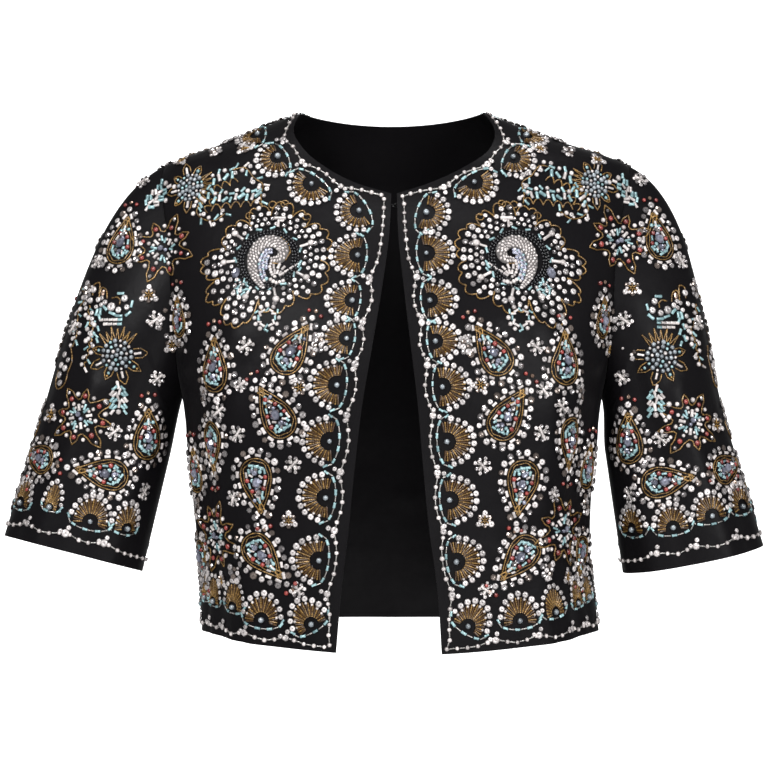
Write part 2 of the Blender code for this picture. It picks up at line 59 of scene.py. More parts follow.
# Camera of the front view: one pixel is 0.92 mm where the neck points lie
PIXELS = 768
PIXEL_MM = 0.92
CAMERA = (-7.36, -2500, -250)
SENSOR_MM = 36
# Where rays start outside the jacket in the other views, and how far any ray goes
FAR, REACH = 2000, 5000

# Cloth
WALL = 1.2
# Panels reach a little past their seams, so that no light shows between them
SEAM_LAP = 0.15
SLEEVE_CLEARANCE = 0.45

# Torso sections in millimetres: half width, depth to the front and to the back, how square the
# corners are, how far the section hangs to the wearer's left, and how much further out the
# left shoulder reaches
Section = namedtuple("Section", "height half_width front back square sway left_extra")
TORSO = [
    Section(0, 84, 34, 52, 0.00, 0, 0),
    Section(-8, 104, 39, 58, 0.00, 0, 0),
    Section(-16, 124, 43, 63, 0.00, 0, 0),
    Section(-28, 153, 49, 69, 0.01, 0, 4),
    Section(-40, 186, 56, 74, 0.02, 0, 9),
    Section(-48, 205, 60, 77, 0.03, 0, 9),
    Section(-60, 214, 65, 82, 0.03, 0, 7),
    Section(-80, 218, 73, 88, 0.04, 0, 4),
    Section(-120, 217, 93, 98, 0.06, 0, 1),
    Section(-170, 212, 112, 104, 0.08, 0, 0),
    Section(-220, 202, 125, 104, 0.09, 0, 0),
    Section(-262, 192, 129, 101, 0.10, 0, 0),
    Section(-302, 187, 128, 98, 0.10, 0, 0),
    Section(-357, 181, 125, 95, 0.10, 0, 0),
    Section(-412, 178, 123, 94, 0.10, 2.5, 0),
    Section(-467, 180, 122, 96, 0.10, 7, 0),
    Section(-500, 182, 122, 97, 0.10, 9, 0),
]

# Heights of the main lines, in millimetres
SHOULDER_POINT = -48
UNDERARM = -262
FRONT_NECK = -80
BACK_NECK_DIP = 8
SIDE_HEM = -472.5
FRONT_HEM_DROP = 15
HULL_MIDDLE = np.array([0, 0, -170])

# Armhole: how far it cuts in from the side, as an angle of the section
ARMHOLE_IN_FRONT = math.radians(27)
ARMHOLE_IN_BACK = math.radians(24)

# Front neckline between the front corner and the neck point: distance from the middle on the
# wearer's right and left, and height
NeckPoint = namedtuple("NeckPoint", "right left height")
FRONT_NECKLINE = [
    NeckPoint(34, 34, -69.5),
    NeckPoint(59, 61, -56),
    NeckPoint(80, 84, -38),
    NeckPoint(90, 93, -18),
    NeckPoint(84, 84, 0),
]

# Front edges: distance from the middle at each height, for the wearer's right and left front
EdgePoint = namedtuple("EdgePoint", "height right left")
FRONT_EDGE = [
    EdgePoint(-80, 0.9, 4.2),
    EdgePoint(-114, 2.7, 5.3),
    EdgePoint(-168, 9.7, 10.6),
    EdgePoint(-220, 18.4, 16.7),
    EdgePoint(-273, 27.2, 22.8),
    EdgePoint(-325, 33.3, 27.2),
    EdgePoint(-378, 38.6, 32.4),
    EdgePoint(-430, 44.7, 39.5),
    EdgePoint(-488, 49.8, 43.4),
]

# Folds of the torso: ridges (+) and troughs (-) along straight lines of the section angle
# (degrees from the middle of the front or back) and height, width and rise in millimetres
Fold = namedtuple("Fold", "half side angle_0 height_0 angle_1 height_1 width rise")
FOLDS = [
    Fold("front", 0, 44, -250, 42, -560, 17, 5.0),
    Fold("front", 0, 57, -262, 56, -560, 14, -3.0),
    Fold("front", -1, 38, -205, 47, -250, 11, 3.0),
    Fold("front", 1, 36, -200, 50, -262, 12, 3.5),
    Fold("front", 0, 70, -300, 74, -560, 14, 2.0),
    Fold("back", 0, 40, -230, 38, -560, 22, 3.5),
    Fold("back", 0, 62, -270, 60, -560, 18, -2.5),
    Fold("back", 0, 12, -330, 15, -560, 26, 2.5),
]

# Creases that only the fine cloth has, in the same form
CREASES = [
    Fold("front", -1, 66, -214, 45, -262, 6, -1.5),
    Fold("front", -1, 68, -240, 50, -300, 6, -1.2),
    Fold("front", 1, 64, -206, 46, -250, 6, -1.6),
    Fold("front", 1, 68, -236, 52, -292, 7, -1.3),
    Fold("front", 1, 30, -392, 44, -372, 8, -1.4),
    Fold("front", 1, 14, -398, 30, -396, 8, 1.0),
    Fold("front", -1, 45, -232, 44, -520, 6, -2.6),
    Fold("front", 1, 46, -240, 44, -520, 6, -2.4),
    Fold("front", -1, 30, -212, 43, -262, 7, -1.6),
    Fold("front", 1, 29, -206, 44, -256, 7, -1.5),
    Fold("front", -1, 64, -300, 65, -520, 6, -1.3),
    Fold("front", 1, 62, -320, 64, -520, 6, -1.2),
    Fold("front", -1, 50, -60, 62, -110, 9, -1.0),
    Fold("front", 1, 52, -66, 60, -120, 9, -1.1),
    Fold("back", -1, 62, -190, 40, -250, 7, -1.5),
    Fold("back", 1, 60, -200, 36, -262, 7, -1.4),
    Fold("back", -1, 66, -236, 46, -300, 7, -1.2),
    Fold("back", 1, 67, -244, 50, -290, 7, -1.3),
    Fold("back", 0, 30, -300, 28, -520, 8, -1.4),
    Fold("back", 0, 52, -320, 52, -520, 7, 1.2),
    Fold("back", 1, 5, -360, 20, -345, 9, -1.1),
]
FOLD_RADIUS = 150

# Sleeves in millimetres: the ring at the lower end of the sleeve head, then the cuff ring, its
# tilt in degrees and how much higher its front hangs
Sleeve = namedtuple(
    "Sleeve",
    "side elbow_out elbow_height elbow_half cuff_out cuff_height cuff_half tilt front_rise",
)
SLEEVES = {
    "right": Sleeve(-1, 263.5, -300, 61.5, 291.5, -405, 65, 14.5, 4.5),
    "left": Sleeve(1, 251.5, -300, 57.0, 275.3, -409.5, 65.4, 11.3, -1.5),
}
ELBOW_FORWARD = 5
CUFF_FORWARD = 13
ELBOW_DEPTH = 55
CUFF_DEPTH = 53
HEAD_FULLNESS = 0.85

# Directions in which the sleeve leaves the armhole: outward, forward and up
Leave = namedtuple("Leave", "turn outward forward up")
SLEEVE_LEAVES = [
    Leave(0, 0.93, 0.00, -0.37),
    Leave(45, 0.88, 0.06, -0.47),
    Leave(90, 0.74, 0.16, -0.66),
    Leave(135, 0.52, 0.10, -0.85),
    Leave(180, 0.30, 0.00, -0.95),
    Leave(225, 0.52, -0.10, -0.85),
    Leave(270, 0.74, -0.16, -0.66),
    Leave(315, 0.88, -0.06, -0.47),
]

# Sleeve folds and finer creases: ridges (+) and troughs (-) round the sleeve (degrees, 0 at the
# outside and 90 at the front), from one share of its length to another
SleeveFold = namedtuple("SleeveFold", "turn_0 along_0 turn_1 along_1 width rise")
SLEEVE_FOLDS = [
    SleeveFold(112, 0.25, 100, 1.00, 9, -3.5),
    SleeveFold(138, 0.30, 128, 1.00, 9, 3.0),
    SleeveFold(75, 0.50, 62, 1.10, 10, 2.5),
    SleeveFold(40, 0.62, 36, 1.15, 9, -2.0),
    SleeveFold(250, 0.25, 262, 1.00, 10, -3.5),
    SleeveFold(225, 0.35, 235, 1.05, 10, 2.5),
    SleeveFold(300, 0.50, 312, 1.15, 11, 2.0),
]
SLEEVE_CREASES = [
    SleeveFold(125, 0.18, 116, 0.75, 5, -1.4),
    SleeveFold(98, 0.55, 88, 1.05, 5, -1.2),
    SleeveFold(150, 0.40, 150, 1.05, 6, -1.3),
    SleeveFold(238, 0.20, 246, 0.80, 6, -1.3),
    SleeveFold(275, 0.55, 284, 1.10, 6, -1.2),
    SleeveFold(15, 0.30, 22, 0.62, 8, -0.9),
]
SLEEVE_AROUND, SLEEVE_ALONG = 1.05, 330

# Cells of the fine cloth
COLUMNS_NECK = 24
COLUMNS_SHOULDER = 30
ROWS_SKIRT = 40
ROWS_ARMHOLE = 40
RINGS_HEAD = 44
RINGS_LOWER = 22

# What each panel was cut to, flat: width, length and area in metres
Cut = namedtuple("Cut", "width length area")

# The padded curl in the middle of each medallion, as in the solids: outward, up, half width
CURL = [
    (-4.0, -1.5, 2.2), (-11.5, 0.0, 4.2), (-14.0, 7.5, 5.2), (-8.5, 14.0, 5.6), (0.0, 15.0, 5.8),
    (8.0, 10.5, 5.6), (12.5, 2.0, 5.2), (13.0, -8.0, 4.6), (9.5, -18.0, 3.6), (3.0, -26.5, 1.8),
]
CURL_RISE, CURL_RIM, CURL_LIFT, CURL_FULL = 2.6, 0.5, 0.3, 6
MEDALLION_OUT = 110.5
MEDALLION_HEIGHT = -139

random = np.random.default_rng(7)


def unit(vectors, least=0.0):
    """Vectors at length one, along their last axis."""
    vectors = np.asarray(vectors, float)
    return vectors / (np.linalg.norm(vectors, axis=-1, keepdims=True) + least)


def cubic(t, start, leave, end, arrive):
    """A cubic between two values, with its slopes at both, at shares of the way."""
    return (
        (2 * t**3 - 3 * t**2 + 1) * start
        + (t**3 - 2 * t**2 + t) * leave
        + (3 * t**2 - 2 * t**3) * end
        + (t**3 - t**2) * arrive
    )


def smooth(table, column, height):
    """A column of a table as a smooth function of height, as a cubic through its rows."""
    rows = sorted(table, key=lambda row: row.height)
    at = np.array([row.height for row in rows], float)
    value = np.array([getattr(row, column) for row in rows], float)
    slope = np.gradient(value, at)
    h = np.clip(height, at[0], at[-1])
    i = np.clip(np.searchsorted(at, h) - 1, 0, len(at) - 2)
    step = at[i + 1] - at[i]
    t = (h - at[i]) / step
    return cubic(t, value[i], step * slope[i], value[i + 1], step * slope[i + 1])


def lengths_along(path):
    """Length from the start of a path to each of its points."""
    return np.concatenate([[0], np.cumsum(np.linalg.norm(np.diff(path, axis=0), axis=1))])


def along_curve(points, count):
    """Points at even steps along a smooth curve through a few points."""
    points = np.asarray(points, float)
    length = lengths_along(points)
    slope = np.gradient(points, length, axis=0)
    s = np.linspace(0, 1, count) * length[-1]
    i = np.clip(np.searchsorted(length, s) - 1, 0, len(length) - 2)
    step = (length[i + 1] - length[i])[:, None]
    t = (s[:, None] - length[i][:, None]) / step
    return cubic(t, points[i], step * slope[i], points[i + 1], step * slope[i + 1])


def fold_rise(u, v, folds):
    """Sum of the folds at points (u, v) of the flat cloth; each fold is a soft line segment."""
    total = np.zeros(np.broadcast(u, v).shape)
    for u0, v0, u1, v1, width, rise in folds:
        du, dv = u1 - u0, v1 - v0
        t = np.clip(((u - u0) * du + (v - v0) * dv) / (du * du + dv * dv), 0, 1)
        away = np.hypot(u - u0 - t * du, v - v0 - t * dv)
        total = total + rise * np.exp(-((away / width) ** 2))
    return total


def torso_folds(half, side):
    """The folds and creases of one quarter of the torso, in millimetres round and up."""
    degree = math.radians(1) * FOLD_RADIUS
    return [
        (f.angle_0 * degree, f.height_0, f.angle_1 * degree, f.height_1, f.width, f.rise)
        for f in FOLDS + CREASES
        if f.half == half and f.side in (0, side)
    ]


def corner(angle, height):
    """How far a section reaches past an ellipse, as a factor."""
    return 1 + smooth(TORSO, "square", height) * np.sin(2 * angle) ** 2


def hull_point(half, angle, height):
    """The even form of the torso in millimetres, on the wearer's left, without its folds."""
    reach = corner(angle, height)
    x = smooth(TORSO, "half_width", height) * np.sin(angle) * reach
    y = smooth(TORSO, half, height) * np.cos(angle) * reach * (-1 if half == "front" else 1)
    return np.stack([x, y, height + 0 * angle], axis=-1)


# Shares of a ray between which the hull is looked for, and how often they are halved
RAY_NEAR, RAY_FAR, RAY_HALVINGS = 0.3, 1.7, 50


def onto_hull(half, points):
    """Angle and height where rays from the middle of the chest through points leave the hull."""
    rays = points - HULL_MIDDLE
    near, far = np.full(rays.shape[:-1], RAY_NEAR), np.full(rays.shape[:-1], RAY_FAR)
    for _ in range(RAY_HALVINGS):
        share = (near + far) / 2
        x, y, height = np.moveaxis(HULL_MIDDLE + rays * share[..., None], -1, 0)
        over = x / smooth(TORSO, "half_width", height)
        out = np.abs(y) / smooth(TORSO, half, height)
        angle = np.arctan2(over, out)
        outside = (np.hypot(over, out) > corner(angle, height)) | (height > 0)
        near, far = np.where(outside, near, share), np.where(outside, share, far)
    return np.stack([angle, height], axis=-1)


def torso_point(half, side, angle, height):
    """Outer surface of the torso in millimetres; the angle runs from the middle to the side."""
    x, y, _ = np.moveaxis(hull_point(half, angle, height), -1, 0)
    rise = fold_rise(angle * FOLD_RADIUS, height, torso_folds(half, side))
    swell = 1 + rise / np.hypot(x, y)
    sway = smooth(TORSO, "sway", height)
    if side > 0:
        x = x * (1 + smooth(TORSO, "left_extra", height) / smooth(TORSO, "half_width", height))
    return np.stack([x * swell * side + sway, y * swell, height + 0 * angle], axis=-1)


# Steps in radians and millimetres for the slopes of the torso, and the lowest height for them
SLOPE_TURN, SLOPE_RISE, LOWEST_SLOPE = 1e-3, 0.05, -499


def torso_normal(half, side, angle, height):
    """Unit normal of the torso's outer surface, pointing away from the wearer."""
    level = np.clip(height, LOWEST_SLOPE, -SLOPE_RISE)
    turn = np.minimum(angle, QUARTER)

    def slope(turning, rising):
        after = torso_point(half, side, turn + turning, level + rising)
        return after - torso_point(half, side, turn - turning, level - rising)

    normal = unit(np.cross(slope(SLOPE_TURN, 0), slope(0, SLOPE_RISE)))
    return -normal if (half == "front") != (side > 0) else normal


# How often the section angle is worked out again from the corner's reach there
ANGLE_ROUNDS = 4


def angle_across(across, height):
    """The section angle at which the torso lies a given distance from the middle."""
    share = across / smooth(TORSO, "half_width", height)
    angle = np.arcsin(np.clip(share, -1, 1))
    for _ in range(ANGLE_ROUNDS):
        angle = np.arcsin(np.clip(share / corner(angle, height), -1, 1))
    return angle


def armhole(half, turn):
    """Angle and height of the armhole; the turn is 0 at the shoulder and pi at the underarm."""
    cut_in = ARMHOLE_IN_FRONT if half == "front" else ARMHOLE_IN_BACK
    middle = (SHOULDER_POINT + UNDERARM) / 2
    reach = (SHOULDER_POINT - UNDERARM) / 2
    return np.stack([QUARTER - cut_in * np.sin(turn), middle + reach * np.cos(turn)], axis=-1)


def patch(bottom, top, left, right):
    """Fills four boundary curves, as a Coons patch; rows run from the bottom to the top."""
    u = np.linspace(0, 1, len(bottom))[None, :, None]
    v = np.linspace(0, 1, len(left))[:, None, None]
    ruled_up = (1 - v) * bottom[None] + v * top[None]
    ruled_over = (1 - u) * left[:, None] + u * right[:, None]
    corners = (
        (1 - u) * (1 - v) * bottom[0]
        + u * (1 - v) * bottom[-1]
        + (1 - u) * v * top[0]
        + u * v * top[-1]
    )
    return ruled_up + ruled_over - corners


def front_edge(side, height):
    """Distance of a front's edge from the middle, in millimetres."""
    sway = smooth(TORSO, "sway", height)
    return smooth(FRONT_EDGE, "left" if side > 0 else "right", height) - side * sway


def inner_boundary(half, side, heights):
    """The panel's line nearest the middle: the front edge, or the middle of the back."""
    if half == "back":
        return np.stack([0 * heights, heights], axis=-1)
    angles = angle_across(front_edge(side, heights), heights)
    return np.stack([angles, heights], axis=-1)


def hem_height(half, angle):
    """Height of the hem, which drops towards the middle of the front."""
    drop = FRONT_HEM_DROP if half == "front" else 0
    return SIDE_HEM - drop * np.cos(angle) ** 3


def top_boundary(half, side):
    """Neckline from the middle to the neck point, then the shoulder seam to the armhole."""
    shares = np.linspace(0, 1, COLUMNS_NECK + 1)
    if half == "front":
        line = [(front_edge(side, float(FRONT_NECK)), FRONT_NECK)]
        line += [(p.left if side > 0 else p.right, p.height) for p in FRONT_NECKLINE]
        across, height = along_curve(line, len(shares)).T
    else:
        across = TORSO[0].half_width * np.sin(shares * QUARTER)
        height = -BACK_NECK_DIP * (1 - (across / TORSO[0].half_width) ** 2)
    neckline = np.stack([angle_across(across, height), height], axis=-1)
    neckline[-1] = (QUARTER, 0)
    down = np.linspace(0, SHOULDER_POINT, COLUMNS_SHOULDER + 1)[1:]
    seam = np.stack([0 * down + QUARTER, down], axis=-1)
    return np.concatenate([neckline, seam])


# About the section angle where a front's edge meets the hem
EDGE_TURN = 0.25


def panel_layout(half, side):
    """Grid of (angle, height) over a panel, from the hem to the shoulder."""
    shares = np.linspace(0, 1, COLUMNS_NECK + COLUMNS_SHOULDER + 1)

    def fill(bottom, top, left, right):
        edges = (hull_point(half, edge[:, 0], edge[:, 1]) for edge in (bottom, top, left, right))
        grid = onto_hull(half, patch(*edges))
        grid[0], grid[-1], grid[:, 0], grid[:, -1] = bottom, top, left, right
        return grid

    start = inner_boundary(half, side, np.array([float(UNDERARM)]))[0, 0]
    chest = np.stack([start + (QUARTER - start) * shares, 0 * shares + UNDERARM], axis=-1)

    hem_start = inner_boundary(half, side, np.array([hem_height(half, EDGE_TURN)]))[0, 0]
    hem_angle = hem_start + (QUARTER - hem_start) * shares
    hem = np.stack([hem_angle, hem_height(half, hem_angle)], axis=-1)
    rows = np.linspace(0, 1, ROWS_SKIRT + 1)
    edge_heights = hem[0, 1] + (UNDERARM - hem[0, 1]) * rows
    side_heights = hem[-1, 1] + (UNDERARM - hem[-1, 1]) * rows
    lower = fill(
        hem,
        chest,
        inner_boundary(half, side, edge_heights),
        np.stack([0 * side_heights + QUARTER, side_heights], axis=-1),
    )

    top = top_boundary(half, side)
    up = np.linspace(UNDERARM, top[0, 1], ROWS_ARMHOLE + 1)
    around = np.linspace(math.pi, 0, ROWS_ARMHOLE + 1)
    upper = fill(chest, top, inner_boundary(half, side, up), armhole(half, around))
    return np.concatenate([lower, upper[1:]])


def spread_out(points, lap):
    """Moves the outer rows and columns of a grid of points away from its inside."""
    result = points.copy()
    for edge, inside in ((0, 1), (-1, -2)):
        result[edge] -= lap * unit(points[inside] - points[edge])
        result[:, edge] -= lap * unit(points[:, inside] - points[:, edge])
    return result


def quarter_grid(half, side):
    """Outer points and normals of one front, or of one half of the back."""
    layout = panel_layout(half, side)
    angle, height = layout[..., 0], layout[..., 1]
    return torso_point(half, side, angle, height), torso_normal(half, side, angle, height)


def armhole_ring(side):
    """Points of the armhole seam all round, and the directions away from and off the torso."""
    turns = np.linspace(0, TURN, 2 * ROWS_ARMHOLE, endpoint=False)
    points, normals = np.zeros((len(turns), 3)), np.zeros((len(turns), 3))
    for half, chosen in (("front", turns <= math.pi), ("back", turns > math.pi)):
        turn = turns[chosen] if half == "front" else TURN - turns[chosen]
        place_on = armhole(half, turn)
        points[chosen] = torso_point(half, side, place_on[:, 0], place_on[:, 1])
        normals[chosen] = torso_normal(half, side, place_on[:, 0], place_on[:, 1])
    along = np.roll(points, -1, axis=0) - np.roll(points, 1, axis=0)
    return turns, points, normals, unit(np.cross(normals, along) * side)


def leaving_direction(side, turns):
    """The direction in which the sleeve leaves the armhole at each turn."""
    step = TURN / len(SLEEVE_LEAVES)
    rows = np.array([(side * s.outward, -s.forward, s.up) for s in SLEEVE_LEAVES])
    i = np.floor(turns / step).astype(int)
    t = (turns / step - i)[:, None]
    t = t * t * (3 - 2 * t)
    n = len(rows)
    return unit(rows[i % n] * (1 - t) + rows[(i + 1) % n] * t)


def sleeve_ring(sleeve, turns, out, height, half, depth, forward):
    """A ring of the sleeve across its tilted axis."""
    tilt = math.radians(sleeve.tilt)
    x = out + half * np.cos(turns) * math.cos(tilt)
    z = height + half * np.cos(turns) * math.sin(tilt) + sleeve.front_rise * np.sin(turns)
    y = -forward - depth * np.sin(turns)
    return np.stack([x * sleeve.side, y, z], axis=-1)


def sleeve_points(sleeve, head_shares, lower_shares):
    """Rings of the sleeve in millimetres, from the armhole to the cuff, before its folds."""
    turns, seam, normals, away = armhole_ring(sleeve.side)
    elbow = sleeve_ring(
        sleeve, turns, sleeve.elbow_out, sleeve.elbow_height, sleeve.elbow_half,
        ELBOW_DEPTH, ELBOW_FORWARD,
    )
    cuff = sleeve_ring(
        sleeve, turns, sleeve.cuff_out, sleeve.cuff_height, sleeve.cuff_half,
        CUFF_DEPTH, CUFF_FORWARD,
    )
    low = ((1 - np.cos(turns)) / 2)[:, None]
    start = seam + unit(normals * low + away * (1 - low)) * SLEEVE_CLEARANCE
    chord = np.linalg.norm(elbow - start, axis=1, keepdims=True) * HEAD_FULLNESS
    leave = leaving_direction(sleeve.side, turns) * chord
    arrive = unit(cuff - elbow) * chord
    rings = [cubic(t, start, leave, elbow, arrive) for t in head_shares]
    rings += [elbow + (cuff - elbow) * t for t in lower_shares]
    return turns, np.array(rings)


def ring_normals(points, side):
    """Outward normals of a tube of rings."""
    around = np.roll(points, -1, axis=1) - np.roll(points, 1, axis=1)
    down = np.gradient(points, axis=0)
    return unit(np.cross(around, down) * side)


# Shares of a sleeve's length where its folds start, and over which they rise
FOLDS_START, FOLDS_FADE = 0.12, 0.2


def sleeve_rise(turns, shares):
    """Folds over the sleeve: degrees round it against its length, both in millimetres."""
    folds = [
        (f.turn_0 * SLEEVE_AROUND, f.along_0 * SLEEVE_ALONG,
         f.turn_1 * SLEEVE_AROUND, f.along_1 * SLEEVE_ALONG, f.width, f.rise)
        for f in SLEEVE_FOLDS + SLEEVE_CREASES
    ]
    around = np.degrees(turns)[None, :] * SLEEVE_AROUND
    along = np.asarray(shares)[:, None] * SLEEVE_ALONG
    fade_in = np.clip((np.asarray(shares)[:, None] - FOLDS_START) / FOLDS_FADE, 0, 1)
    return fold_rise(around, along, folds) * fade_in


def sleeve_grid(sleeve):
    """Outer points and normals of a sleeve, with its folds."""
    head = np.linspace(0, 1, RINGS_HEAD + 1)
    lower = np.linspace(0, 1, RINGS_LOWER + 1)[1:]
    shares = np.linspace(0, 1, len(head) + len(lower))
    turns, points = sleeve_points(sleeve, head, lower)
    normals = ring_normals(points, sleeve.side)
    points = points + normals * sleeve_rise(turns, shares)[..., None]
    return points, ring_normals(points, sleeve.side)


def grid_faces(rows, columns, ring):
    """Quads over a grid of points, closed round its columns where it is a ring."""
    last = columns if ring else columns - 1
    r, c = np.meshgrid(np.arange(rows - 1), np.arange(last), indexing="ij")
    after = (c + 1) % columns
    quads = np.stack(
        [r * columns + c, r * columns + after, (r + 1) * columns + after, (r + 1) * columns + c],
        axis=-1,
    )
    return quads.reshape(-1, 4)


def rim_faces(rows, columns, ring):
    """Quads that join the outer and the inner layer of a wall along its edges."""
    count = rows * columns
    if ring:
        first = np.arange(columns)
        loops = [first, first[::-1] + (rows - 1) * columns]
    else:
        loops = [
            np.concatenate([
                np.arange(columns),
                np.arange(1, rows) * columns + columns - 1,
                (rows - 1) * columns + np.arange(columns - 2, -1, -1),
                np.arange(rows - 2, 0, -1) * columns,
            ])
        ]
    quads = [np.stack([np.roll(a, -1), a, a + count, np.roll(a, -1) + count], -1) for a in loops]
    return np.concatenate(quads)


def mesh_object(name, points, faces, material, flat=False):
    """An object of one mesh, shaded smooth unless its beads have flat facets."""
    mesh = bpy.data.meshes.new(name)
    mesh.from_pydata(points.tolist(), [], faces)
    if not flat:
        mesh.shade_smooth()
    mesh.materials.append(material)
    thing = bpy.data.objects.new(name, mesh)
    bpy.context.scene.collection.objects.link(thing)
    return thing


def wall_object(name, outer, inner, ring, flip, material):
    """A closed wall between two grids of points in millimetres."""
    rows, columns = outer.shape[:2]
    skin = grid_faces(rows, columns, ring)
    inside = skin[:, ::-1] + rows * columns
    faces = np.concatenate([skin, inside, rim_faces(rows, columns, ring)])
    if flip:
        faces = faces[:, ::-1]
    points = np.concatenate([outer.reshape(-1, 3), inner.reshape(-1, 3)]) * MM
    return mesh_object(name, points, faces.tolist(), material)


Panel = namedtuple("Panel", "name points normals ring flip")
SHARP_EDGE = math.radians(50)


def make_panels():
    """The outer faces of the five cloth pieces."""
    panels = []
    for name, side in (("front_right", -1), ("front_left", 1)):
        points, normals = quarter_grid("front", side)
        panels.append(Panel(name, spread_out(points, SEAM_LAP), normals, False, side < 0))
    halves = zip(quarter_grid("back", 1), quarter_grid("back", -1))
    points, normals = (np.concatenate([a[:, ::-1], b[:, 1:]], axis=1) for a, b in halves)
    panels.append(Panel("back", spread_out(points, SEAM_LAP), normals, False, False))
    for name, sleeve in SLEEVES.items():
        points, normals = sleeve_grid(sleeve)
        panels.append(Panel("sleeve_" + name, points, normals, True, sleeve.side < 0))
    return panels


def make_cloth(panels, satin):
    """Thin satin over each cloth solid."""
    for panel in panels:
        name = "satin_" + panel.name
        inner = panel.points - panel.normals * WALL
        piece = wall_object(name, panel.points, inner, panel.ring, panel.flip, satin)
        piece.data.set_sharp_from_angle(angle=SHARP_EDGE)
        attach(piece, "root")
        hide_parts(panel.name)


# How steeply an edge's pull falls off with distance
EDGE_PULL = 5


class Ground:
    """The outer faces of the cloth, which beads are dropped onto, and the edges of the cloth."""

    def __init__(self, panels):
        points, faces, self.regions, start = [], [], [], 0
        for panel in panels:
            rows, columns = panel.points.shape[:2]
            skin = grid_faces(rows, columns, panel.ring)
            points.append(panel.points.reshape(-1, 3))
            faces.append((skin[:, ::-1] if panel.flip else skin) + start)
            region = "front" if panel.name.startswith("front") else panel.name
            self.regions += [region] * len(skin)
            start += rows * columns
        self.tree = BVHTree.FromPolygons(
            np.concatenate(points).tolist(), np.concatenate(faces).tolist()
        )
        self.edges = {panel.name: panel_edges(panel) for panel in panels}
        self.edge_points = np.concatenate([e for es in self.edges.values() for e in es])

    def drop(self, origin, direction, reach=REACH):
        """Point, normal and region that a ray meets first, or None."""
        point, normal, face, _ = self.tree.ray_cast(Vector(origin), Vector(direction), reach)
        if point is None:
            return None
        point, normal = np.array(point), np.array(normal)
        if normal @ np.asarray(direction) > 0:
            normal = -normal
        return point, normal, self.regions[face]

    def settle(self, point):
        """The nearest point of the cloth to a point close to it."""
        found, normal, face, _ = self.tree.find_nearest(Vector(point))
        return np.array(found), np.array(normal), self.regions[face]

    def nearest_edge(self, point):
        """The point of the cloth's open edges that is nearest to a point."""
        away = np.linalg.norm(self.edge_points - point, axis=1)
        return self.edge_points[np.argmin(away)]

    def from_edges(self, point):
        """Direction away from the edges near a point; in a corner it halves the angle."""
        away = point - self.edge_points
        far = np.linalg.norm(away, axis=1, keepdims=True)
        return unit((away / far**EDGE_PULL).sum(axis=0))


def panel_edges(panel):
    """The open edges of a panel that beaded borders follow, as lines of points."""
    points = panel.points
    if panel.ring:
        return [np.concatenate([points[-1], points[-1][:1]])]
    if panel.name == "back":
        return [points[0], points[-1, COLUMNS_SHOULDER:-COLUMNS_SHOULDER]]
    neck = points[-1, COLUMNS_NECK::-1]
    return [np.concatenate([neck, points[-2::-1, 0], points[0, 1:]])]


def polar(radius, degrees):
    """The point of a plane at a radius and an angle."""
    return radius * math.cos(math.radians(degrees)), radius * math.sin(math.radians(degrees))


def resample(path, step):
    """Points at even steps along a path."""
    path = np.asarray(path, float)
    length = lengths_along(path)
    count = max(2, int(round(length[-1] / step)) + 1)
    at = np.linspace(0, length[-1], count)
    return np.stack([np.interp(at, length, path[:, k]) for k in range(path.shape[1])], axis=1)


class Chart:
    """A flat drawing plane that touches the cloth at one point; its places are millimetres."""

    HOVER = 26

    def __init__(self, work, landed, up, turn=0, mirror=1):
        self.work = work
        self.point, self.normal, _ = landed
        up = np.asarray(up, float)
        level = unit(up - self.normal * (up @ self.normal))
        right = np.cross(level, self.normal)
        c, s = polar(1, turn)
        self.u = (right * c + level * s) * mirror
        self.v = level * c - right * s

    def at(self, u, v):
        """Cloth under a place in the plane, or None past the cloth's edge."""
        above = self.point + self.u * u + self.v * v + self.normal * self.HOVER
        return self.work.ground.drop(above, -self.normal, 2 * self.HOVER)

    def add(self, sort, place, angle=0, length=None, width=None, height=None, lift=0):
        """Drops one bead onto the cloth; its angle is in degrees in the plane."""
        landed = self.at(*place)
        if landed is not None:
            c, s = polar(1, angle)
            self.work.put(sort, landed, self.u * c + self.v * s, length, width, height, lift)

    def cord(self, path, radius=0.85, closed=False):
        """Couches a string of gold beads along a path of the plane."""
        path = np.asarray(path, float)
        if closed:
            path = np.concatenate([path, path[:1]])
        self.work.string([self.at(u, v) for u, v in resample(path, CORD_STEP)], radius)


def seen_from(ground, view, a, b):
    """Where a motif's place meets the cloth.

    From the front it is a pixel of the front view, otherwise millimetres along the two axes
    across the direction of sight."""
    if view == "front":
        ray = (a - PIXELS / 2, -CAMERA[1] / PIXEL_MM, PIXELS / 2 - b)
        return ground.drop(CAMERA, unit(ray))
    if view == "back":
        return ground.drop((a, FAR, b), (0, -1, 0))
    if view == "top":
        return ground.drop((a, b, FAR), (0, 0, -1))
    side = -1 if view == "right" else 1
    return ground.drop((side * FAR, a, b), (-side, 0, 0))


# Bead forms as turned profiles from the crown to the cloth: radius, height, and how light the
# bead is painted there: painted highlight near the crown, painted shade towards the rim and base
Ring = namedtuple("Ring", "radius height light")
ROUND = [Ring(0, 1.0, 1), Ring(0.55, 0.82, 0.95), Ring(0.95, 0.30, 0.30), Ring(0.9, -0.5, 0)]
CUP = [
    Ring(0, 0.50, 0.1), Ring(0.14, 0.65, 0.4), Ring(0.34, 0.95, 1), Ring(0.70, 0.80, 0.9),
    Ring(1.0, 0.30, 0.15), Ring(0.95, -0.2, 0),
]
FACET = [Ring(0, 0.80, 0.5), Ring(0.50, 0.92, 1), Ring(0.97, 0.30, 0.3), Ring(0.8, -0.3, 0)]
Form = namedtuple("Form", "points faces light flat")


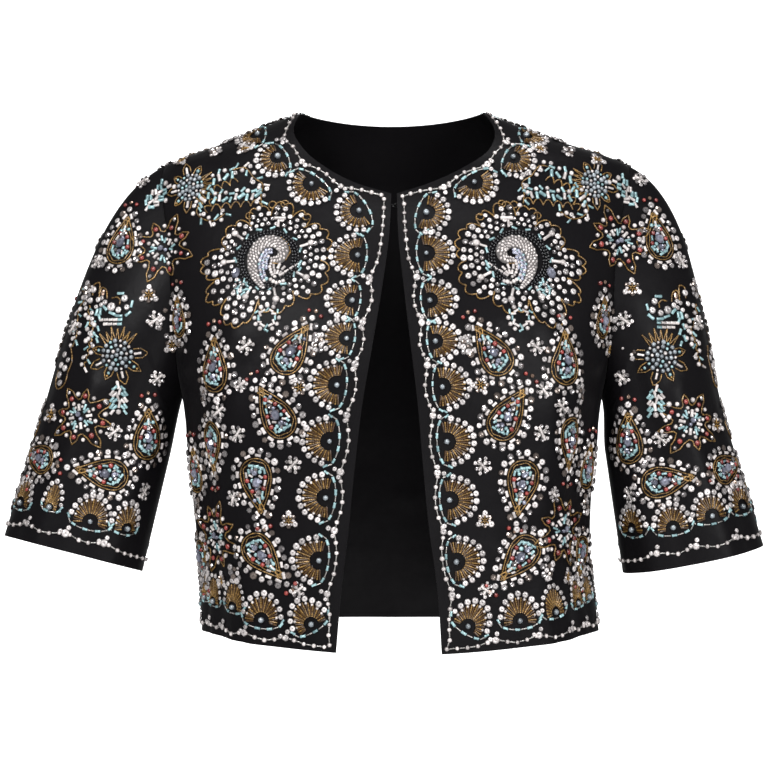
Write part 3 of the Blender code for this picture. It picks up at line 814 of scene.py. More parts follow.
def turned_form(profile, sides, flat=False):
    """A bead turned from its profile; it is open below, where it touches the cloth."""
    angles = np.arange(sides) * TURN / sides
    points = [(0.0, 0.0, profile[0].height)]
    light = [profile[0].light]
    for ring in profile[1:]:
        points += [
            (ring.radius * math.cos(a), ring.radius * math.sin(a), ring.height) for a in angles
        ]
        light += [ring.light] * sides
    faces = [(0, 1 + i, 1 + (i + 1) % sides) for i in range(sides)]
    for ring in range(len(profile) - 2):
        low = 1 + ring * sides
        for i in range(sides):
            a, b = low + i, low + (i + 1) % sides
            faces += [(a, a + sides, b + sides), (a, b + sides, b)]
    return Form(np.array(points), np.array(faces), np.array(light), flat)


# Corners of tubes round their length in degrees; they are open below, where they touch the cloth
TUBE_TURNS = (-30, 35, 90, 145, 210)
# Along a bugle, from end to end: how far along, how thick, and the painted shade at its ends
BUGLE = ((-1, 0.75, 0.25), (-0.8, 1, None), (0, 0.86, None), (0.8, 1, None), (1, 0.75, 0.25))


def bugle_form():
    """A short glass tube along its first axis, waisted where its two beads meet."""
    points, faces, light = [], [], []
    for along, size, shade in BUGLE:
        ring = [polar(size, turn) for turn in TUBE_TURNS]
        points += [(along, y, z) for y, z in ring]
        # Painted shading round the tube: lighter on top, painted shade below
        light += [shade or (1 + z) / 2 for _, z in ring]
    count = len(TUBE_TURNS)
    for low in range(0, (len(BUGLE) - 1) * count, count):
        for a in range(low, low + count - 1):
            faces += [(a, a + 1, a + 1 + count), (a, a + 1 + count, a + count)]
    return Form(np.array(points, float), np.array(faces), np.array(light), False)


FORMS = {
    "round": turned_form(ROUND, 8),
    "cup": turned_form(CUP, 8),
    "facet": turned_form(FACET, 7, flat=True),
    "bugle": bugle_form(),
}

# Every sort of bead: its form, its material and its usual length, width and height
Bead = namedtuple("Bead", "form material length width height")
BEADS = {
    "sequin": Bead("cup", "white_cup", 6.0, 6.0, 2.8),
    "stone": Bead("facet", "crystal", 5.6, 5.6, 3.4),
    "seed": Bead("round", "white_bead", 4.4, 4.4, 3.2),
    "small_seed": Bead("round", "white_bead", 2.8, 2.8, 2.2),
    "curl_seed": Bead("round", "white_bead", 3.5, 2.5, 2.4),
    "white_bar": Bead("bugle", "white_bead", 5.4, 2.5, 2.2),
    "thin_bar": Bead("bugle", "silver", 6.0, 1.4, 1.3),
    "silver_bar": Bead("bugle", "silver", 5.0, 1.9, 1.8),
    "gold_bar": Bead("bugle", "gold_cord", 5.0, 1.4, 1.6),
    "amber_bar": Bead("bugle", "amber", 9.0, 2.3, 1.2),
    "aqua_bar": Bead("bugle", "aqua", 5.2, 2.4, 2.2),
    "aqua_seed": Bead("round", "aqua", 2.8, 2.8, 2.2),
    "red": Bead("round", "red", 4.8, 4.8, 3.6),
    "champagne": Bead("facet", "champagne", 5.0, 5.0, 3.0),
    "smoke": Bead("facet", "smoke", 5.0, 5.0, 3.2),
    "gold_seed": Bead("round", "gold_cord", 2.4, 2.4, 1.9),
    "lavender": Bead("facet", "lavender", 7.5, 6.0, 4.0),
    "lilac_seed": Bead("round", "lavender", 3.4, 2.9, 2.6),
    "pearl": Bead("round", "pearl", 4.6, 4.6, 3.8),
    "black": Bead("round", "black_glass", 2.8, 2.8, 2.2),
}

# How much beads differ in size and lean, and how high their middles lie in half heights
SIZE_SPREAD, LEAN_SPREAD, SEAT = 0.06, 0.10, 0.5
# Range of the beads' light, and of the beads that a gold cord is strung from
BEAD_LIGHT, CORD_BEAD_LIGHT = (0.38, 1.0), (0.2, 1.0)
# A gold cord's step, its waists between two beads, the painted shade at them, and how high it
# lies
CORD_STEP, CORD_WAIST, CORD_WAIST_SHADE, CORD_SEAT = 1.0, 0.68, 0.6, 0.6
# Painted shading round a cord, for the corners of a tube: painted highlight on top, painted shade
# at its sides
CORD_PAINTED_SHADING = (0.0, 0.45, 1.0, 0.45, 0.0)


class Beadwork:
    """All beads and cords, gathered by region and sort, and joined into meshes at the end."""

    def __init__(self, ground):
        self.ground = ground
        self.beads, self.cords = {}, {}

    def put(self, sort, landed, along, length=None, width=None, height=None, lift=0):
        """Sews one bead down where it landed, along a direction."""
        bead = BEADS[sort]
        point, normal, region = landed
        along = unit(along - normal * (along @ normal))
        round_width = bead.width if bead.form == "bugle" else length or bead.width
        size = np.array([length or bead.length, width or round_width, height or bead.height]) / 2
        size = size * (1 + SIZE_SPREAD * random.standard_normal())
        lean = unit(normal + LEAN_SPREAD * random.standard_normal(3))
        centre = point + normal * (size[2] * SEAT + lift)
        frame = (centre, along * size[0], np.cross(normal, along) * size[1], lean * size[2])
        self.beads.setdefault((region, sort), []).append(frame)

    def string(self, run, radius):
        """A string of beads over landed places; it breaks where there is no cloth."""
        kept = []
        for landed in [*run, None]:
            if landed is not None:
                kept.append(landed)
                continue
            if len(kept) > 2:
                self.tube(kept, radius)
            kept = []

    def tube(self, run, radius):
        """One stretch of gold cord, thick at its beads and thin between them."""
        points = np.array([place[0] for place in run])
        normals = np.array([place[1] for place in run])
        side = unit(np.cross(normals, np.gradient(points, axis=0)), least=1e-9)
        swell = np.where(np.arange(len(run)) % 2 == 0, 1.0, CORD_WAIST)[:, None] * radius
        centres = points + normals * radius * CORD_SEAT
        corners = [polar(1, turn) for turn in TUBE_TURNS]
        rings = [centres + (side * over + normals * up) * swell for over, up in corners]
        self.cords.setdefault((run[0][2], "gold_cord"), []).append(np.stack(rings, axis=1))

    def join(self, materials):
        """Makes one mesh for each sort of bead in each region, then one of its cords."""
        for (region, sort), rows in sorted(self.beads.items()):
            form = FORMS[BEADS[sort].form]
            frames = np.array(rows)
            points = frames[:, None, 0] + np.einsum("pk,bkj->bpj", form.points, frames[:, 1:])
            starts = np.arange(len(rows)) * len(form.points)
            faces = form.faces[None] + starts[:, None, None]
            # Each bead's random tone times its form's painted shade and painted highlight
            light = random.uniform(*BEAD_LIGHT, len(rows))[:, None] * form.light[None]
            self.finish(
                f"{sort}_{region}", points.reshape(-1, 3), faces.reshape(-1, 3), light.ravel(),
                materials[BEADS[sort].material], form.flat,
            )
        for (region, sort), tubes in sorted(self.cords.items()):
            points, faces, light, start = [], [], [], 0
            for tube in tubes:
                rings, sides = tube.shape[:2]
                faces.append(grid_faces(rings, sides, False) + start)
                points.append(tube.reshape(-1, 3))
                # Each cord bead's random tone, with painted shade at the waists and painted
                # highlight along the top
                bead = np.repeat(random.uniform(*CORD_BEAD_LIGHT, rings // 2 + 1), 2)[:rings]
                waist = np.where(np.arange(rings) % 2 == 0, 1.0, CORD_WAIST_SHADE)
                light.append(np.outer(bead * waist, CORD_PAINTED_SHADING).ravel())
                start += rings * sides
            self.finish(
                f"{sort}_{region}", np.concatenate(points), np.concatenate(faces),
                np.concatenate(light), materials[sort], False,
            )

    @staticmethod
    def finish(name, points, faces, light, material, flat):
        """A piece of beadwork, with each bead's random tone times its painted shade and highlight
        stored at each point.
        """
        piece = mesh_object(name, points * MM, faces.tolist(), material, flat)
        layer = piece.data.attributes.new("light", "FLOAT", "POINT")
        layer.data.foreach_set("value", light.astype(np.float32))
        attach(piece, "root")


def arc(radius, start, end, count=24, squash=1.0):
    """Points along an arc between two angles, flattened by a factor."""
    angles = np.radians(np.linspace(start, end, count))
    return np.stack([radius * np.cos(angles), radius * squash * np.sin(angles)], axis=1)


def steps_along(path, step, phase=0.5):
    """Places and headings in degrees at even steps along a path."""
    path = np.asarray(path, float)
    length = lengths_along(path)
    count = max(1, int(round(length[-1] / step)))
    at = (np.arange(count) + phase) * length[-1] / count
    heading = np.gradient(path, length, axis=0)
    x, y, hx, hy = (np.interp(at, length, line) for line in (*path.T, *heading.T))
    return [((a, b), math.degrees(math.atan2(d, c))) for a, b, c, d in zip(x, y, hx, hy)]


# A paisley: points of its outline, its width as a share of its length, and how far its tip leans
PAISLEY_POINTS, PAISLEY_WIDTH, PAISLEY_BEND = 73, 0.60, 0.06
# Beads in turn along its sides, over its middle and outside it
PAISLEY_LINE = ("red", "white_bar", "red", "aqua_bar", "gold_bar", "red", "aqua_bar")
PAISLEY_CORE = ("stone", "aqua_seed", "white_bar", "lilac_seed")
PAISLEY_STONES = ("sequin", "stone", "stone", "sequin", "smoke")


def teardrop(length, offset=0.0):
    """Closed outline of a paisley with its tip up, moved outward by an offset."""
    t = np.linspace(0, TURN, PAISLEY_POINTS)
    x = PAISLEY_WIDTH * length / 2 * np.sin(t) * np.abs(np.sin(t / 2)) ** 1.3 / 0.76
    y = length / 2 * np.cos(t)
    x = x + PAISLEY_BEND * length * ((y + length / 2) / length) ** 2.2
    ahead = np.gradient(np.stack([x, y], axis=1), axis=0)
    out = unit(np.stack([-ahead[:, 1], ahead[:, 0]], axis=1), least=1e-9)
    out[0] = out[-1] = (0, 1)
    return np.stack([x, y], axis=1) + out * offset


def paisley(chart, length):
    """A leaf-shaped drop in a double gold line, with a jewelled middle and stones all round."""
    chart.cord(teardrop(length), 0.75)
    wander = 0.6 * np.sin(9 * np.linspace(0, TURN, PAISLEY_POINTS) + length)[:, None]
    chart.cord(teardrop(length, wander - 2.6), 0.60)
    fill_paisley(chart, length)
    for place, heading in steps_along(teardrop(length, 2.9), 9.6):
        chart.add("white_bar", place, heading, 5.6, 3.2, 2.6)
    for i, (place, heading) in enumerate(steps_along(teardrop(length, 7.0), 8.0, phase=0.0)):
        sort = PAISLEY_STONES[i % len(PAISLEY_STONES)]
        chart.add(sort, place, heading, 6.2 + 0.7 * math.sin(2.1 * i))
    for k, sort in ((-1, "red"), (0, "champagne"), (1, "red")):
        place = (PAISLEY_BEND * length + 6.0 * k, length / 2 + 14.0 - 2.0 * abs(k))
        chart.add(sort, place, 90, 4.2)


def fill_paisley(chart, length):
    """Gold bars in the tip, beads down the sides, aqua in the bowl and jewels in the middle."""
    for i, ((u, v), heading) in enumerate(steps_along(teardrop(length, -5.3), 5.0)):
        if v > length * 0.30:
            chart.add("gold_bar", (u * 0.6, v), heading, 5)
        elif v < -length * 0.24:
            drift = 0.94 + 0.07 * math.sin(2.6 * i)
            turn = heading + 38 * math.sin(2.3 * i)
            chart.add("aqua_bar", (u * drift, v * drift), turn, 4.8, 2.9)
            chart.add("aqua_seed", (u * 0.82, v * 0.86), 0, 2.8)
        else:
            sort = PAISLEY_LINE[i % len(PAISLEY_LINE)]
            chart.add(sort, (u, v), heading + 12 * math.sin(1.9 * i))
    for i, (place, heading) in enumerate(steps_along(teardrop(length, -9.6), 4.4)):
        if place[1] < length * 0.25:
            chart.add(PAISLEY_CORE[i % len(PAISLEY_CORE)], place, heading + 60, 4.2)
    sway = PAISLEY_BEND * length
    chart.add("lavender", (sway * 0.2, -0.07 * length), 70, 10.0, 8.6, 6.0)
    chart.add("stone", (sway * 0.3, 0.11 * length), 90, 6.0, 5.6, 5.0)
    chart.add("lavender", (0.4, -0.24 * length), 0, 6.0, 5.2, 5.0)
    chart.add("white_bar", (sway * 0.6, 0.24 * length), 90, 6.0, 2.6)


# One point of a star: share of its step to each side, and how far out
STAR_NOTCH = 0.6
STAR_POINT = (
    (-0.5, STAR_NOTCH), (-0.27, 0.64), (-0.19, 0.82), (0, 1), (0.19, 0.82), (0.27, 0.64),
)


def star(chart, radius):
    """An eight-pointed gold star with red beads in its points and an aqua and lilac middle."""
    step = 45
    outline = []
    for k in range(8):
        reach = radius * (1.2 if k % 2 else 1.0)
        for share, out in STAR_POINT:
            far = out * (reach if out > STAR_NOTCH else radius)
            outline.append(polar(far, (k + 0.5 + share) * step))
    chart.cord(outline, closed=True)
    for k in range(8):
        tip, notch = (k + 0.5) * step, k * step
        chart.add("red", polar(0.74 * radius, tip), tip, 5.4)
        chart.add("seed", polar(0.80 * radius, notch), 0, 4.4)
        chart.add("seed", polar(0.52 * radius, tip), 0, 4.2)
        chart.add("small_seed", polar(0.36 * radius, tip), 0, 3.2)
        if k % 2:
            chart.add("stone", polar(1.0 * radius, tip), 0, 4.2)
            chart.add("white_bar", polar(0.32 * radius, notch), notch, 6.5, 3.4, 2.8)
        else:
            for side in (-9, 9):
                spot = polar((0.34 + 0.004 * side) * radius, notch + side)
                chart.add("aqua_bar", spot, notch + 2 * side, 6.0, 2.6)
    chart.add("lavender", (-2.4, 0.8), 30, 6.6, 6.0, 5.0)
    chart.add("lilac_seed", (2.2, -0.8), 0, 4.6, 4.4, 4.6)


# A cluster flower's rings of pearls: how many, and how far out; its petals: how far out and how
# far to each side
PEARL_RINGS = ((6, 0.34), (12, 0.66), (17, 0.98))
PEARL_TURN = ("aqua_seed", "pearl", "pearl", "small_seed", "pearl")
PETAL = ((0.58, -1.2), (0.8, -0.9), (1, 0), (0.8, 0.9), (0.58, 1.2))


def cluster_flower(chart, radius):
    """A dense middle of blue-grey pearls, with pointed gold petals and a comb of gold spikes."""
    core = 0.58 * radius
    chart.add("pearl", (0, 0))
    for count, r in PEARL_RINGS:
        for k in range(count):
            sort = PEARL_TURN[(k + count) % len(PEARL_TURN)]
            size = (3.4 if sort != "pearl" else 4.4) + 0.4 * math.sin(3.7 * k + r)
            chart.add(sort, polar(core * r, 360 * k / count + 57 * r), 0, size)
    for k in range(6):
        middle = 166 + 40 * k
        tip = radius * (1.20 if k % 2 else 1.06)
        path = [polar(r * tip, middle + 12 * side) for r, side in PETAL]
        chart.cord(resample(path, 2.0), radius=0.75)
        if k % 2:
            chart.add("white_bar", polar(radius * 0.80, middle), middle, 6.5)
        else:
            chart.add("aqua_seed", polar(radius * 0.78, middle), 0, 3.4)
            chart.add("gold_seed", polar(radius * 0.9, middle))
    for k in range(7):
        middle, tip = 48 + 14 * k, radius * (1.16 - 0.10 * (k % 2))
        foot = [polar(0.62 * radius, middle + turn) for turn in (-6, 6)]
        chart.cord([foot[0], polar(tip, middle), foot[1]], radius=0.8)


def sprig(chart, length):
    """A short stem of white bars with thick leaves of aqua and white bars in pairs."""
    for k in range(4):
        v = -length / 2 + 2 + k * length * 0.26
        chart.add("white_bar", (0.7 * (-1) ** k, v), 90 + 14 * (-1) ** k, 7.0, 3.2)
        for side in (-1, 1):
            for reach, lean in ((4.6, 52), (9.4, 40)):
                a = 90 + side * lean
                c, s = polar(reach, a)
                sort = "white_bar" if (k + side + (reach > 5)) % 3 == 0 else "aqua_bar"
                chart.add(sort, (c, v + s), a, 5.8, 3.2, 2.8)
        if k % 2:
            chart.add("seed", (11.5, v + 9), 0, 5.4)
    chart.add("seed", (0, length / 2 + 4), 0, 5.6)


def leaf(chart, length):
    """Thick bars in two slanted rows over a gold line of arches, like half a fern leaf."""
    loops = max(2, round(length / 8.5))
    shares = np.linspace(0, loops, 14 * loops + 1)
    arches = [-7.5 + 6.5 * abs(math.sin(math.pi * t)) ** 0.7 for t in shares]
    chart.cord(list(zip(length * (shares / loops - 0.5), arches)), 0.8)
    count = round(length / 5.4)
    for k in range(count):
        u = length * ((k + 0.5) / count - 0.5)
        v = 3.0 + 1.5 * math.sin(1.7 * k)
        sort = ("aqua_bar", "white_bar", "aqua_bar")[k % 3]
        chart.add(sort, (u, v), 62 + 30 * math.sin(2.2 * k), 7.4, 3.4, 3.0)
        if k % 2:
            chart.add("aqua_bar", (u + 1.5, v + 6.2), 28 + 30 * math.sin(1.4 * k), 5.8, 3.0)
        else:
            chart.add("seed", (u + 1.0, v + 6.6), 0, 4.6)


def snowflake(chart, size):
    """A small round flower: a cross of white bars over silver spokes that end in stones."""
    for k in range(8):
        a = 45 * k + 10
        chart.add("silver_bar", polar(3.9 * size, a), a, 4.4 * size, 1.5)
        sort = "stone" if k % 2 else "sequin"
        chart.add(sort, polar((6.5 + 0.4 * (-1) ** k) * size, a), 0, 3.9)
    for r in (-4.5, 0, 4.5):
        chart.add("white_bar", polar(r * size, 35), 35, 4.9 * size, 2.7, 2.6, lift=0.7)
    for r in (-3.4, 3.4):
        chart.add("white_bar", polar(r * size, 122), 122, 4.4 * size, 2.4)


def trefoil(chart, size):
    """A small flower of three cups with pairs of seeds, tied by gold threads."""
    for k in range(3):
        a = 90 + 120 * k
        chart.add("sequin", polar(6.6 * size, a), 0, 5.6)
        for side in (-26, 26):
            chart.add("small_seed", polar(4.2 * size, a + side), 0, 3.2)
        chart.add("smoke", polar(5.0 * size, a + 60), 0, 4.6)
        for b in (a, a + 60):
            chart.add("gold_bar", polar(2.4 * size, b), b, 4.0, 1.0, 2.6)


# Places of a bunch's stones
GRAPES = ((-3, -6), (3, -6), (-3.4, 0), (3.4, 0), (-2.8, 6), (3.2, 6), (0.4, 11))


def grape(chart, size):
    """A bunch of stones in two rows with one at its tip."""
    for k, (u, v) in enumerate(GRAPES):
        sort = ("sequin", "stone", "smoke")[k % 3]
        chart.add(sort, (u * size, v * size), 0, 6.0 + 0.5 * (-1) ** k)
    for side in (-1, 1):
        chart.add("small_seed", (7.4 * side * size, 3.0 * side), 0, 3.2)


# Fans narrower than this have fewer rays and smaller cups, in the second of these rows: steps
# of the rays and the cups along the rim, and the cups' size
SMALL_FAN = 14
FanSteps = namedtuple("FanSteps", "ray cup size")
FAN_STEPS = (FanSteps(6.0, 6.7, 6.4), FanSteps(4.4, 5.4, 5.2))
# Where the rays start, as a share of the half width, and how far they end inside the rim
RAY_START, RAY_GAP = 0.4, 3.2


def fan(chart, wide, deep):
    """Gold rays and amber bars round a pearl, tipped with cupped sequins, over a scallop.

    The rays open towards +v, away from the garment's edge."""
    small = wide < SMALL_FAN
    steps = FAN_STEPS[small]
    start = RAY_START * wide
    chart.add("pearl", (0, 0), 0, 5.6, 5.6, 5.0)
    rim = arc(wide, -12, 192, 60, squash=deep / wide)
    for k, ((u, v), _) in enumerate(steps_along(rim, steps.ray / 2)):
        reach = math.hypot(u, v)
        inner, outer = start / reach, 1 - RAY_GAP / reach
        if k % 2:
            chart.cord([(inner * u, inner * v), (outer * u, outer * v)], radius=0.95)
        else:
            middle, turn = (inner + outer) / 2, math.degrees(math.atan2(v, u))
            chart.add("amber_bar", (middle * u, middle * v), turn, reach - start - RAY_GAP)
    for (u, v), heading in steps_along(arc(wide, 4, 176, 60, squash=deep / wide), steps.cup):
        chart.add("sequin", (u, v), heading, steps.size - 0.6 * abs(u) / wide)
        if not small:
            inner = 1 - 4 / math.hypot(u, v)
            chart.add("small_seed", (inner * u, inner * v))
    scallop = arc(wide * 1.05, 174, 366, 30, squash=0.40)
    for i, (place, heading) in enumerate(steps_along(scallop, 6.0)):
        if i % 2:
            chart.add("aqua_bar", place, heading, 5.0, 2.8)
        else:
            chart.add("thin_bar", place, heading)
    for side in (-1, 1):
        chart.add("aqua_bar", (side * wide * 1.08, 1.5), 90 - 30 * side, 4.8, 2.5)


# Lobes of the large rosette: the angle and radius where each starts, its reach and its small
# scallops, counter-clockwise from the side that faces the wearer's middle
Lobe = namedtuple("Lobe", "start low reach scallops")
LOBES = [
    Lobe(-2, 50, 57, 4), Lobe(45, 45, 54, 2), Lobe(66, 45, 56, 2), Lobe(92, 44, 52, 2),
    Lobe(120, 38, 49, 3), Lobe(166, 40, 62, 4), Lobe(202, 49, 65, 3), Lobe(226, 53, 69, 4),
    Lobe(262, 42, 52, 3), Lobe(308, 42, 58, 4), Lobe(358, 50, 57, 4),
]
SCALLOP_DEPTH = 4.4
# Where small loops of gold cord sit on the rosette's upper outline
LOOPS = ((-1, 53), (31, 41), (-21, 42), (10, 54))
# Rings of black beads round the curl: radius and how many
BLACK_RINGS = ((22.5, 44), (25.0, 50), (27.5, 56))
# The small flower under the rosette: its middle and its radius
FLOWER_PLACE, FLOWER_RADIUS = (3, -56), 7.4


def rosette_radius(lobe, after, t):
    """How far out the gold outline is at a share of the way through a lobe."""
    base = lobe.low + (after.low - lobe.low) * t
    rise = (lobe.reach - base) * math.sin(math.pi * t) ** 0.55
    return base + rise + SCALLOP_DEPTH * (abs(math.sin(math.pi * lobe.scallops * t)) ** 0.8 - 0.6)


def medallion(chart, _):
    """A lobed rosette round a white curl: a black ring, keys and stones in each gold lobe.

    The chart's +u points towards the wearer's middle."""
    outline = []
    for lobe, after in zip(LOBES, LOBES[1:]):
        for t in np.linspace(0, 1, 24, endpoint=False):
            angle = lobe.start + (after.start - lobe.start) * t
            outline.append(polar(rosette_radius(lobe, after, t), angle))
        fill_lobe(chart, lobe, after)
    chart.cord(outline, closed=True, radius=0.9)
    for loop in LOOPS:
        chart.cord(arc(3.3, 0, 330) + loop, radius=0.8)
    chart.add("white_bar", (7.6, 38.8), 0, 11.5, 3.6, 3.4, lift=0.8)
    chart.add("white_bar", (6.6, 33.2), 90, 7.5, 2.8, 3.0, lift=0.8)
    for r, count in BLACK_RINGS:
        for k in range(count):
            u, v = polar(r, 360 * k / count + r * 7)
            chart.add("black", (u, v - 1))
    for angle in range(15, 375, 24):
        turn = angle + (62 if angle % 48 == 15 else 118)
        chart.add("aqua_bar", polar(29.5, angle), turn, 5.6, 2.4)
    chart.add("lavender", (-28, -14), 80, 11.5, 8.5, 5.5)
    leaf_heap(chart, (-22.5, -27.5))
    ring_flower(chart)
    tulip(chart)


def ring_flower(chart):
    """A ring of short bars with seeds outside it."""
    across, up = FLOWER_PLACE
    for k in range(12):
        u, v = polar(FLOWER_RADIUS, 30 * k)
        sort = "white_bar" if k % 3 else "aqua_bar"
        chart.add(sort, (across + u, up + v), 30 * k + 90 + 50 * (k % 2), 5.0, 2.6)
        sort = "aqua_bar" if k % 4 == 1 else "seed"
        chart.add(sort, (across + 1.5 * u, up + 1.5 * v), 30 * k + 60, 4.4)


# Lobes wider than this many degrees have a key. The rows of stones start at the first radius,
# those inside the second leave room for the key, and they end this far inside the gold outline
KEY_WIDTH = 30
FIRST_ROW, KEY_END, KEY_ROOM, OUTLINE_GAP = 33.5, 43.5, math.radians(270), 2.6


def fill_lobe(chart, lobe, after):
    """Stones in rows that follow the lobe, growing outwards, round a bar with a large seed."""
    middle, width = (lobe.start + after.start) / 2, after.start - lobe.start
    wide = width > KEY_WIDTH
    if wide:
        chart.add("white_bar", polar(34.0, middle), middle, 8.6, 3.0, 2.8)
        chart.add("seed", polar(40.4, middle), 0, 7.2, 6.4, 4.2)
    row = FIRST_ROW
    while row < lobe.reach - 3:
        size = 4.3 + 0.11 * (row - 33)
        count = int(math.radians(width) * row / (size + 1.1))
        for k in range(count):
            t = (k + 0.5 + 0.25 * (-1) ** int(row)) / count
            angle = lobe.start + width * t
            beside = math.radians(abs(angle - middle)) * row > KEY_ROOM
            inside = row < rosette_radius(lobe, after, t) - OUTLINE_GAP
            if inside and (row > KEY_END or not wide or beside):
                sort = "sequin" if (k + int(row)) % 3 else "stone"
                grown = size + 0.5 * math.sin(5 * k + row)
                chart.add(sort, polar(row, angle), angle, grown)
        row += size + 0.5


def leaf_heap(chart, place):
    """A loose heap of aqua bars and white seeds."""
    for k in range(16):
        u, v = polar(2.0 * k ** 0.5, 137 * k)
        sort = "aqua_bar" if k % 3 else "small_seed"
        length = 5.0 if k % 3 else 3.0
        chart.add(sort, (place[0] + u, place[1] + v), 40 * k, length, lift=0.5 * (k % 2))


# The gold line round the curl's head
TULIP_LINE = [(3, -5), (9, -5.5), (16, -2), (20, 6), (17, 14.5), (10, 20)]
# White bars of the tulip: their turn in degrees and how far they reach
TULIP_BARS = ((106, 14), (82, 19), (58, 15), (36, 25))


def tulip(chart):
    """White bars that open from under the curl's head, which a gold line goes round."""
    chart.cord(TULIP_LINE, radius=0.8)
    for place, heading in steps_along([(4, -2), (2.5, -9), (5, -16), (9, -19)], 2.8):
        chart.add("seed", place, heading, 3.6)
    for turn, reach in TULIP_BARS:
        for r in np.arange(5.5, reach, 5.4):
            u, v = polar(r, turn)
            chart.add("white_bar", (9 + u, -19 + v), turn + 9 * math.sin(r), 4.8, 2.8)
    for u, v in ((28.5, -7.5), (29.5, -11)):
        chart.add("aqua_bar", (u, v), 60, 5.0, 2.6)
    for place, heading in steps_along([(3, -20), (9, -24), (17, -22)], 3.4):
        chart.add("seed", place, heading, 4.2)


# A spray's large stones, with their sizes, its aqua bars, with their turns, and its gold loops
SPRAY_STONES = (
    (6.7, 3.9, 6.8), (9.5, -4.2, 6.8), (1.7, -6.7, 6.6), (-5.6, -3.9, 8.6), (-12.3, 0.6, 5.4),
    (-16.2, 4.5, 5.2), (-19.5, 3.0, 5.0), (-16, -1.5, 4.8), (-21, -3.5, 4.8), (-26, 13, 6.6),
    (-28, 3, 5.4), (-25, -9, 5.2),
)
SPRAY_BARS = (
    (2.2, 8.8, 0), (13.6, -1.0, 80), (11.0, -10.0, 40), (2.5, -12, -5), (-4.5, -9.8, -20),
    (-12.3, -4.6, -45), (-16.8, -7.8, 90), (-20.5, -8.2, 80),
)
SPRAY_HOOK = [(-6, 4.5), (-1, 5.5), (2.5, 2.5), (2, -1.5)]
SPRAY_LOOPS = (
    [(-20, 5), (-17, 15), (-13.5, 13), (-11, 4)],
    [(-27, 8), (-26, 19), (-22, 20), (-20, 9)],
)
# Rows of white bars that end in an aqua one: height, where they start and how many
SPRAY_ROWS = ((-15.6, -14.5, 5), (-19.6, -10, 4))


def spray(chart, size):
    """A crescent of large stones with aqua bars outside it, gold loops and two rows of bars."""
    for u, v, length in SPRAY_STONES:
        chart.add("sequin", (u * size, v * size), 0, length, height=4)
    for u, v, turn in SPRAY_BARS:
        chart.add("aqua_bar", (u * size, v * size), turn, 7.2, 3.2)
    for row, start, count in SPRAY_ROWS:
        for k in range(count):
            sort = "aqua_bar" if k == count - 1 else "white_bar"
            chart.add(sort, (start + 4.6 * k, row), 4, 4.6, 3.2)
    chart.cord(SPRAY_HOOK, 0.9)
    for loop in SPRAY_LOOPS:
        chart.cord(along_curve(loop, 20), 0.9)
    chart.add("champagne", (-15.8, 9.5), 80, 6.6, 4.2)
    for k in range(5):
        sway, fall = 2.4 * (-1) ** k, -13 - 5.4 * k
        chart.add("aqua_bar", (-19.5 + sway, fall), 90 + 10 * sway, 6.0, 3.0)
        chart.add("seed", (-26.0 - sway, fall), 0, 5.2)


# A stone lobe's stones, and the points that its gold loop runs through
LOBE_STONES = ((-3, 13), (4, 9), (-3.5, 3), (3.5, 1), (-2, -6), (2, -13))
LOBE_LINE = [(3, 20), (9, 10), (8.5, -2), (8, -14), (1, -19), (-6, -14), (-8, -2)]


def stone_lobe(chart, size):
    """Large stones in two columns inside a long gold loop."""
    for k, (u, v) in enumerate(LOBE_STONES):
        chart.add("sequin", (u * size, v * size), 0, 6.6 + 0.5 * (k > 3), None, 3.4)
    chart.cord(along_curve(LOBE_LINE, 40))


# Curved trails of bars and beads: how far their gold line waves, and pixels of the front view
# on the wearer's right half; the left half mirrors them about the given sum of pixels, a little
# higher
Trail = namedtuple("Trail", "wave pixels")
TRAIL_MIRROR, TRAIL_HIGHER = 785, 2
TRAILS = [
    Trail(0.0, [(233, 170), (245, 168), (254, 178), (263, 185), (261, 196), (262, 206)]),
    Trail(0.0, [(199, 205), (197, 213), (203, 219), (214, 221), (225, 214)]),
    Trail(1.2, [(90, 306), (89, 320), (94, 332), (90, 344), (88, 356), (84, 368)]),
    Trail(0.0, [(82, 288), (86, 297), (80, 308), (78, 322), (77, 336), (73, 347)]),
]
LEAF_STEP = 4


def trail(work, wave, pixels):
    """A gold cord with short bars like leaves on both sides of it and beads at some tips."""
    ground = work.ground
    line = resample(along_curve(pixels, 60), 1.1)
    run = [seen_from(ground, "front", px, py) for px, py in line]
    run = [landed for landed in run if landed is not None]
    cord = []
    for i, (point, normal, _) in enumerate(run):
        ahead = unit(run[min(i + 1, len(run) - 1)][0] - run[max(i - 1, 0)][0])
        side = np.cross(normal, ahead)
        cord.append(ground.settle(point + side * wave * math.sin(i)))
        if i % LEAF_STEP == 2:
            k = i // LEAF_STEP
            leaf = unit(side * (-1) ** k + ahead * 0.8)
            sort = ("aqua_bar", "seed", "white_bar")[k % 3]
            length = 4.8 if sort == "seed" else 6.2
            work.put(sort, ground.settle(point + leaf * 3.9), leaf, length)
            if k % 3 == 0:
                work.put("sequin", ground.settle(point - leaf * 5.0 + ahead * 3), ahead, 5.0)
    work.string(cord, 0.8)


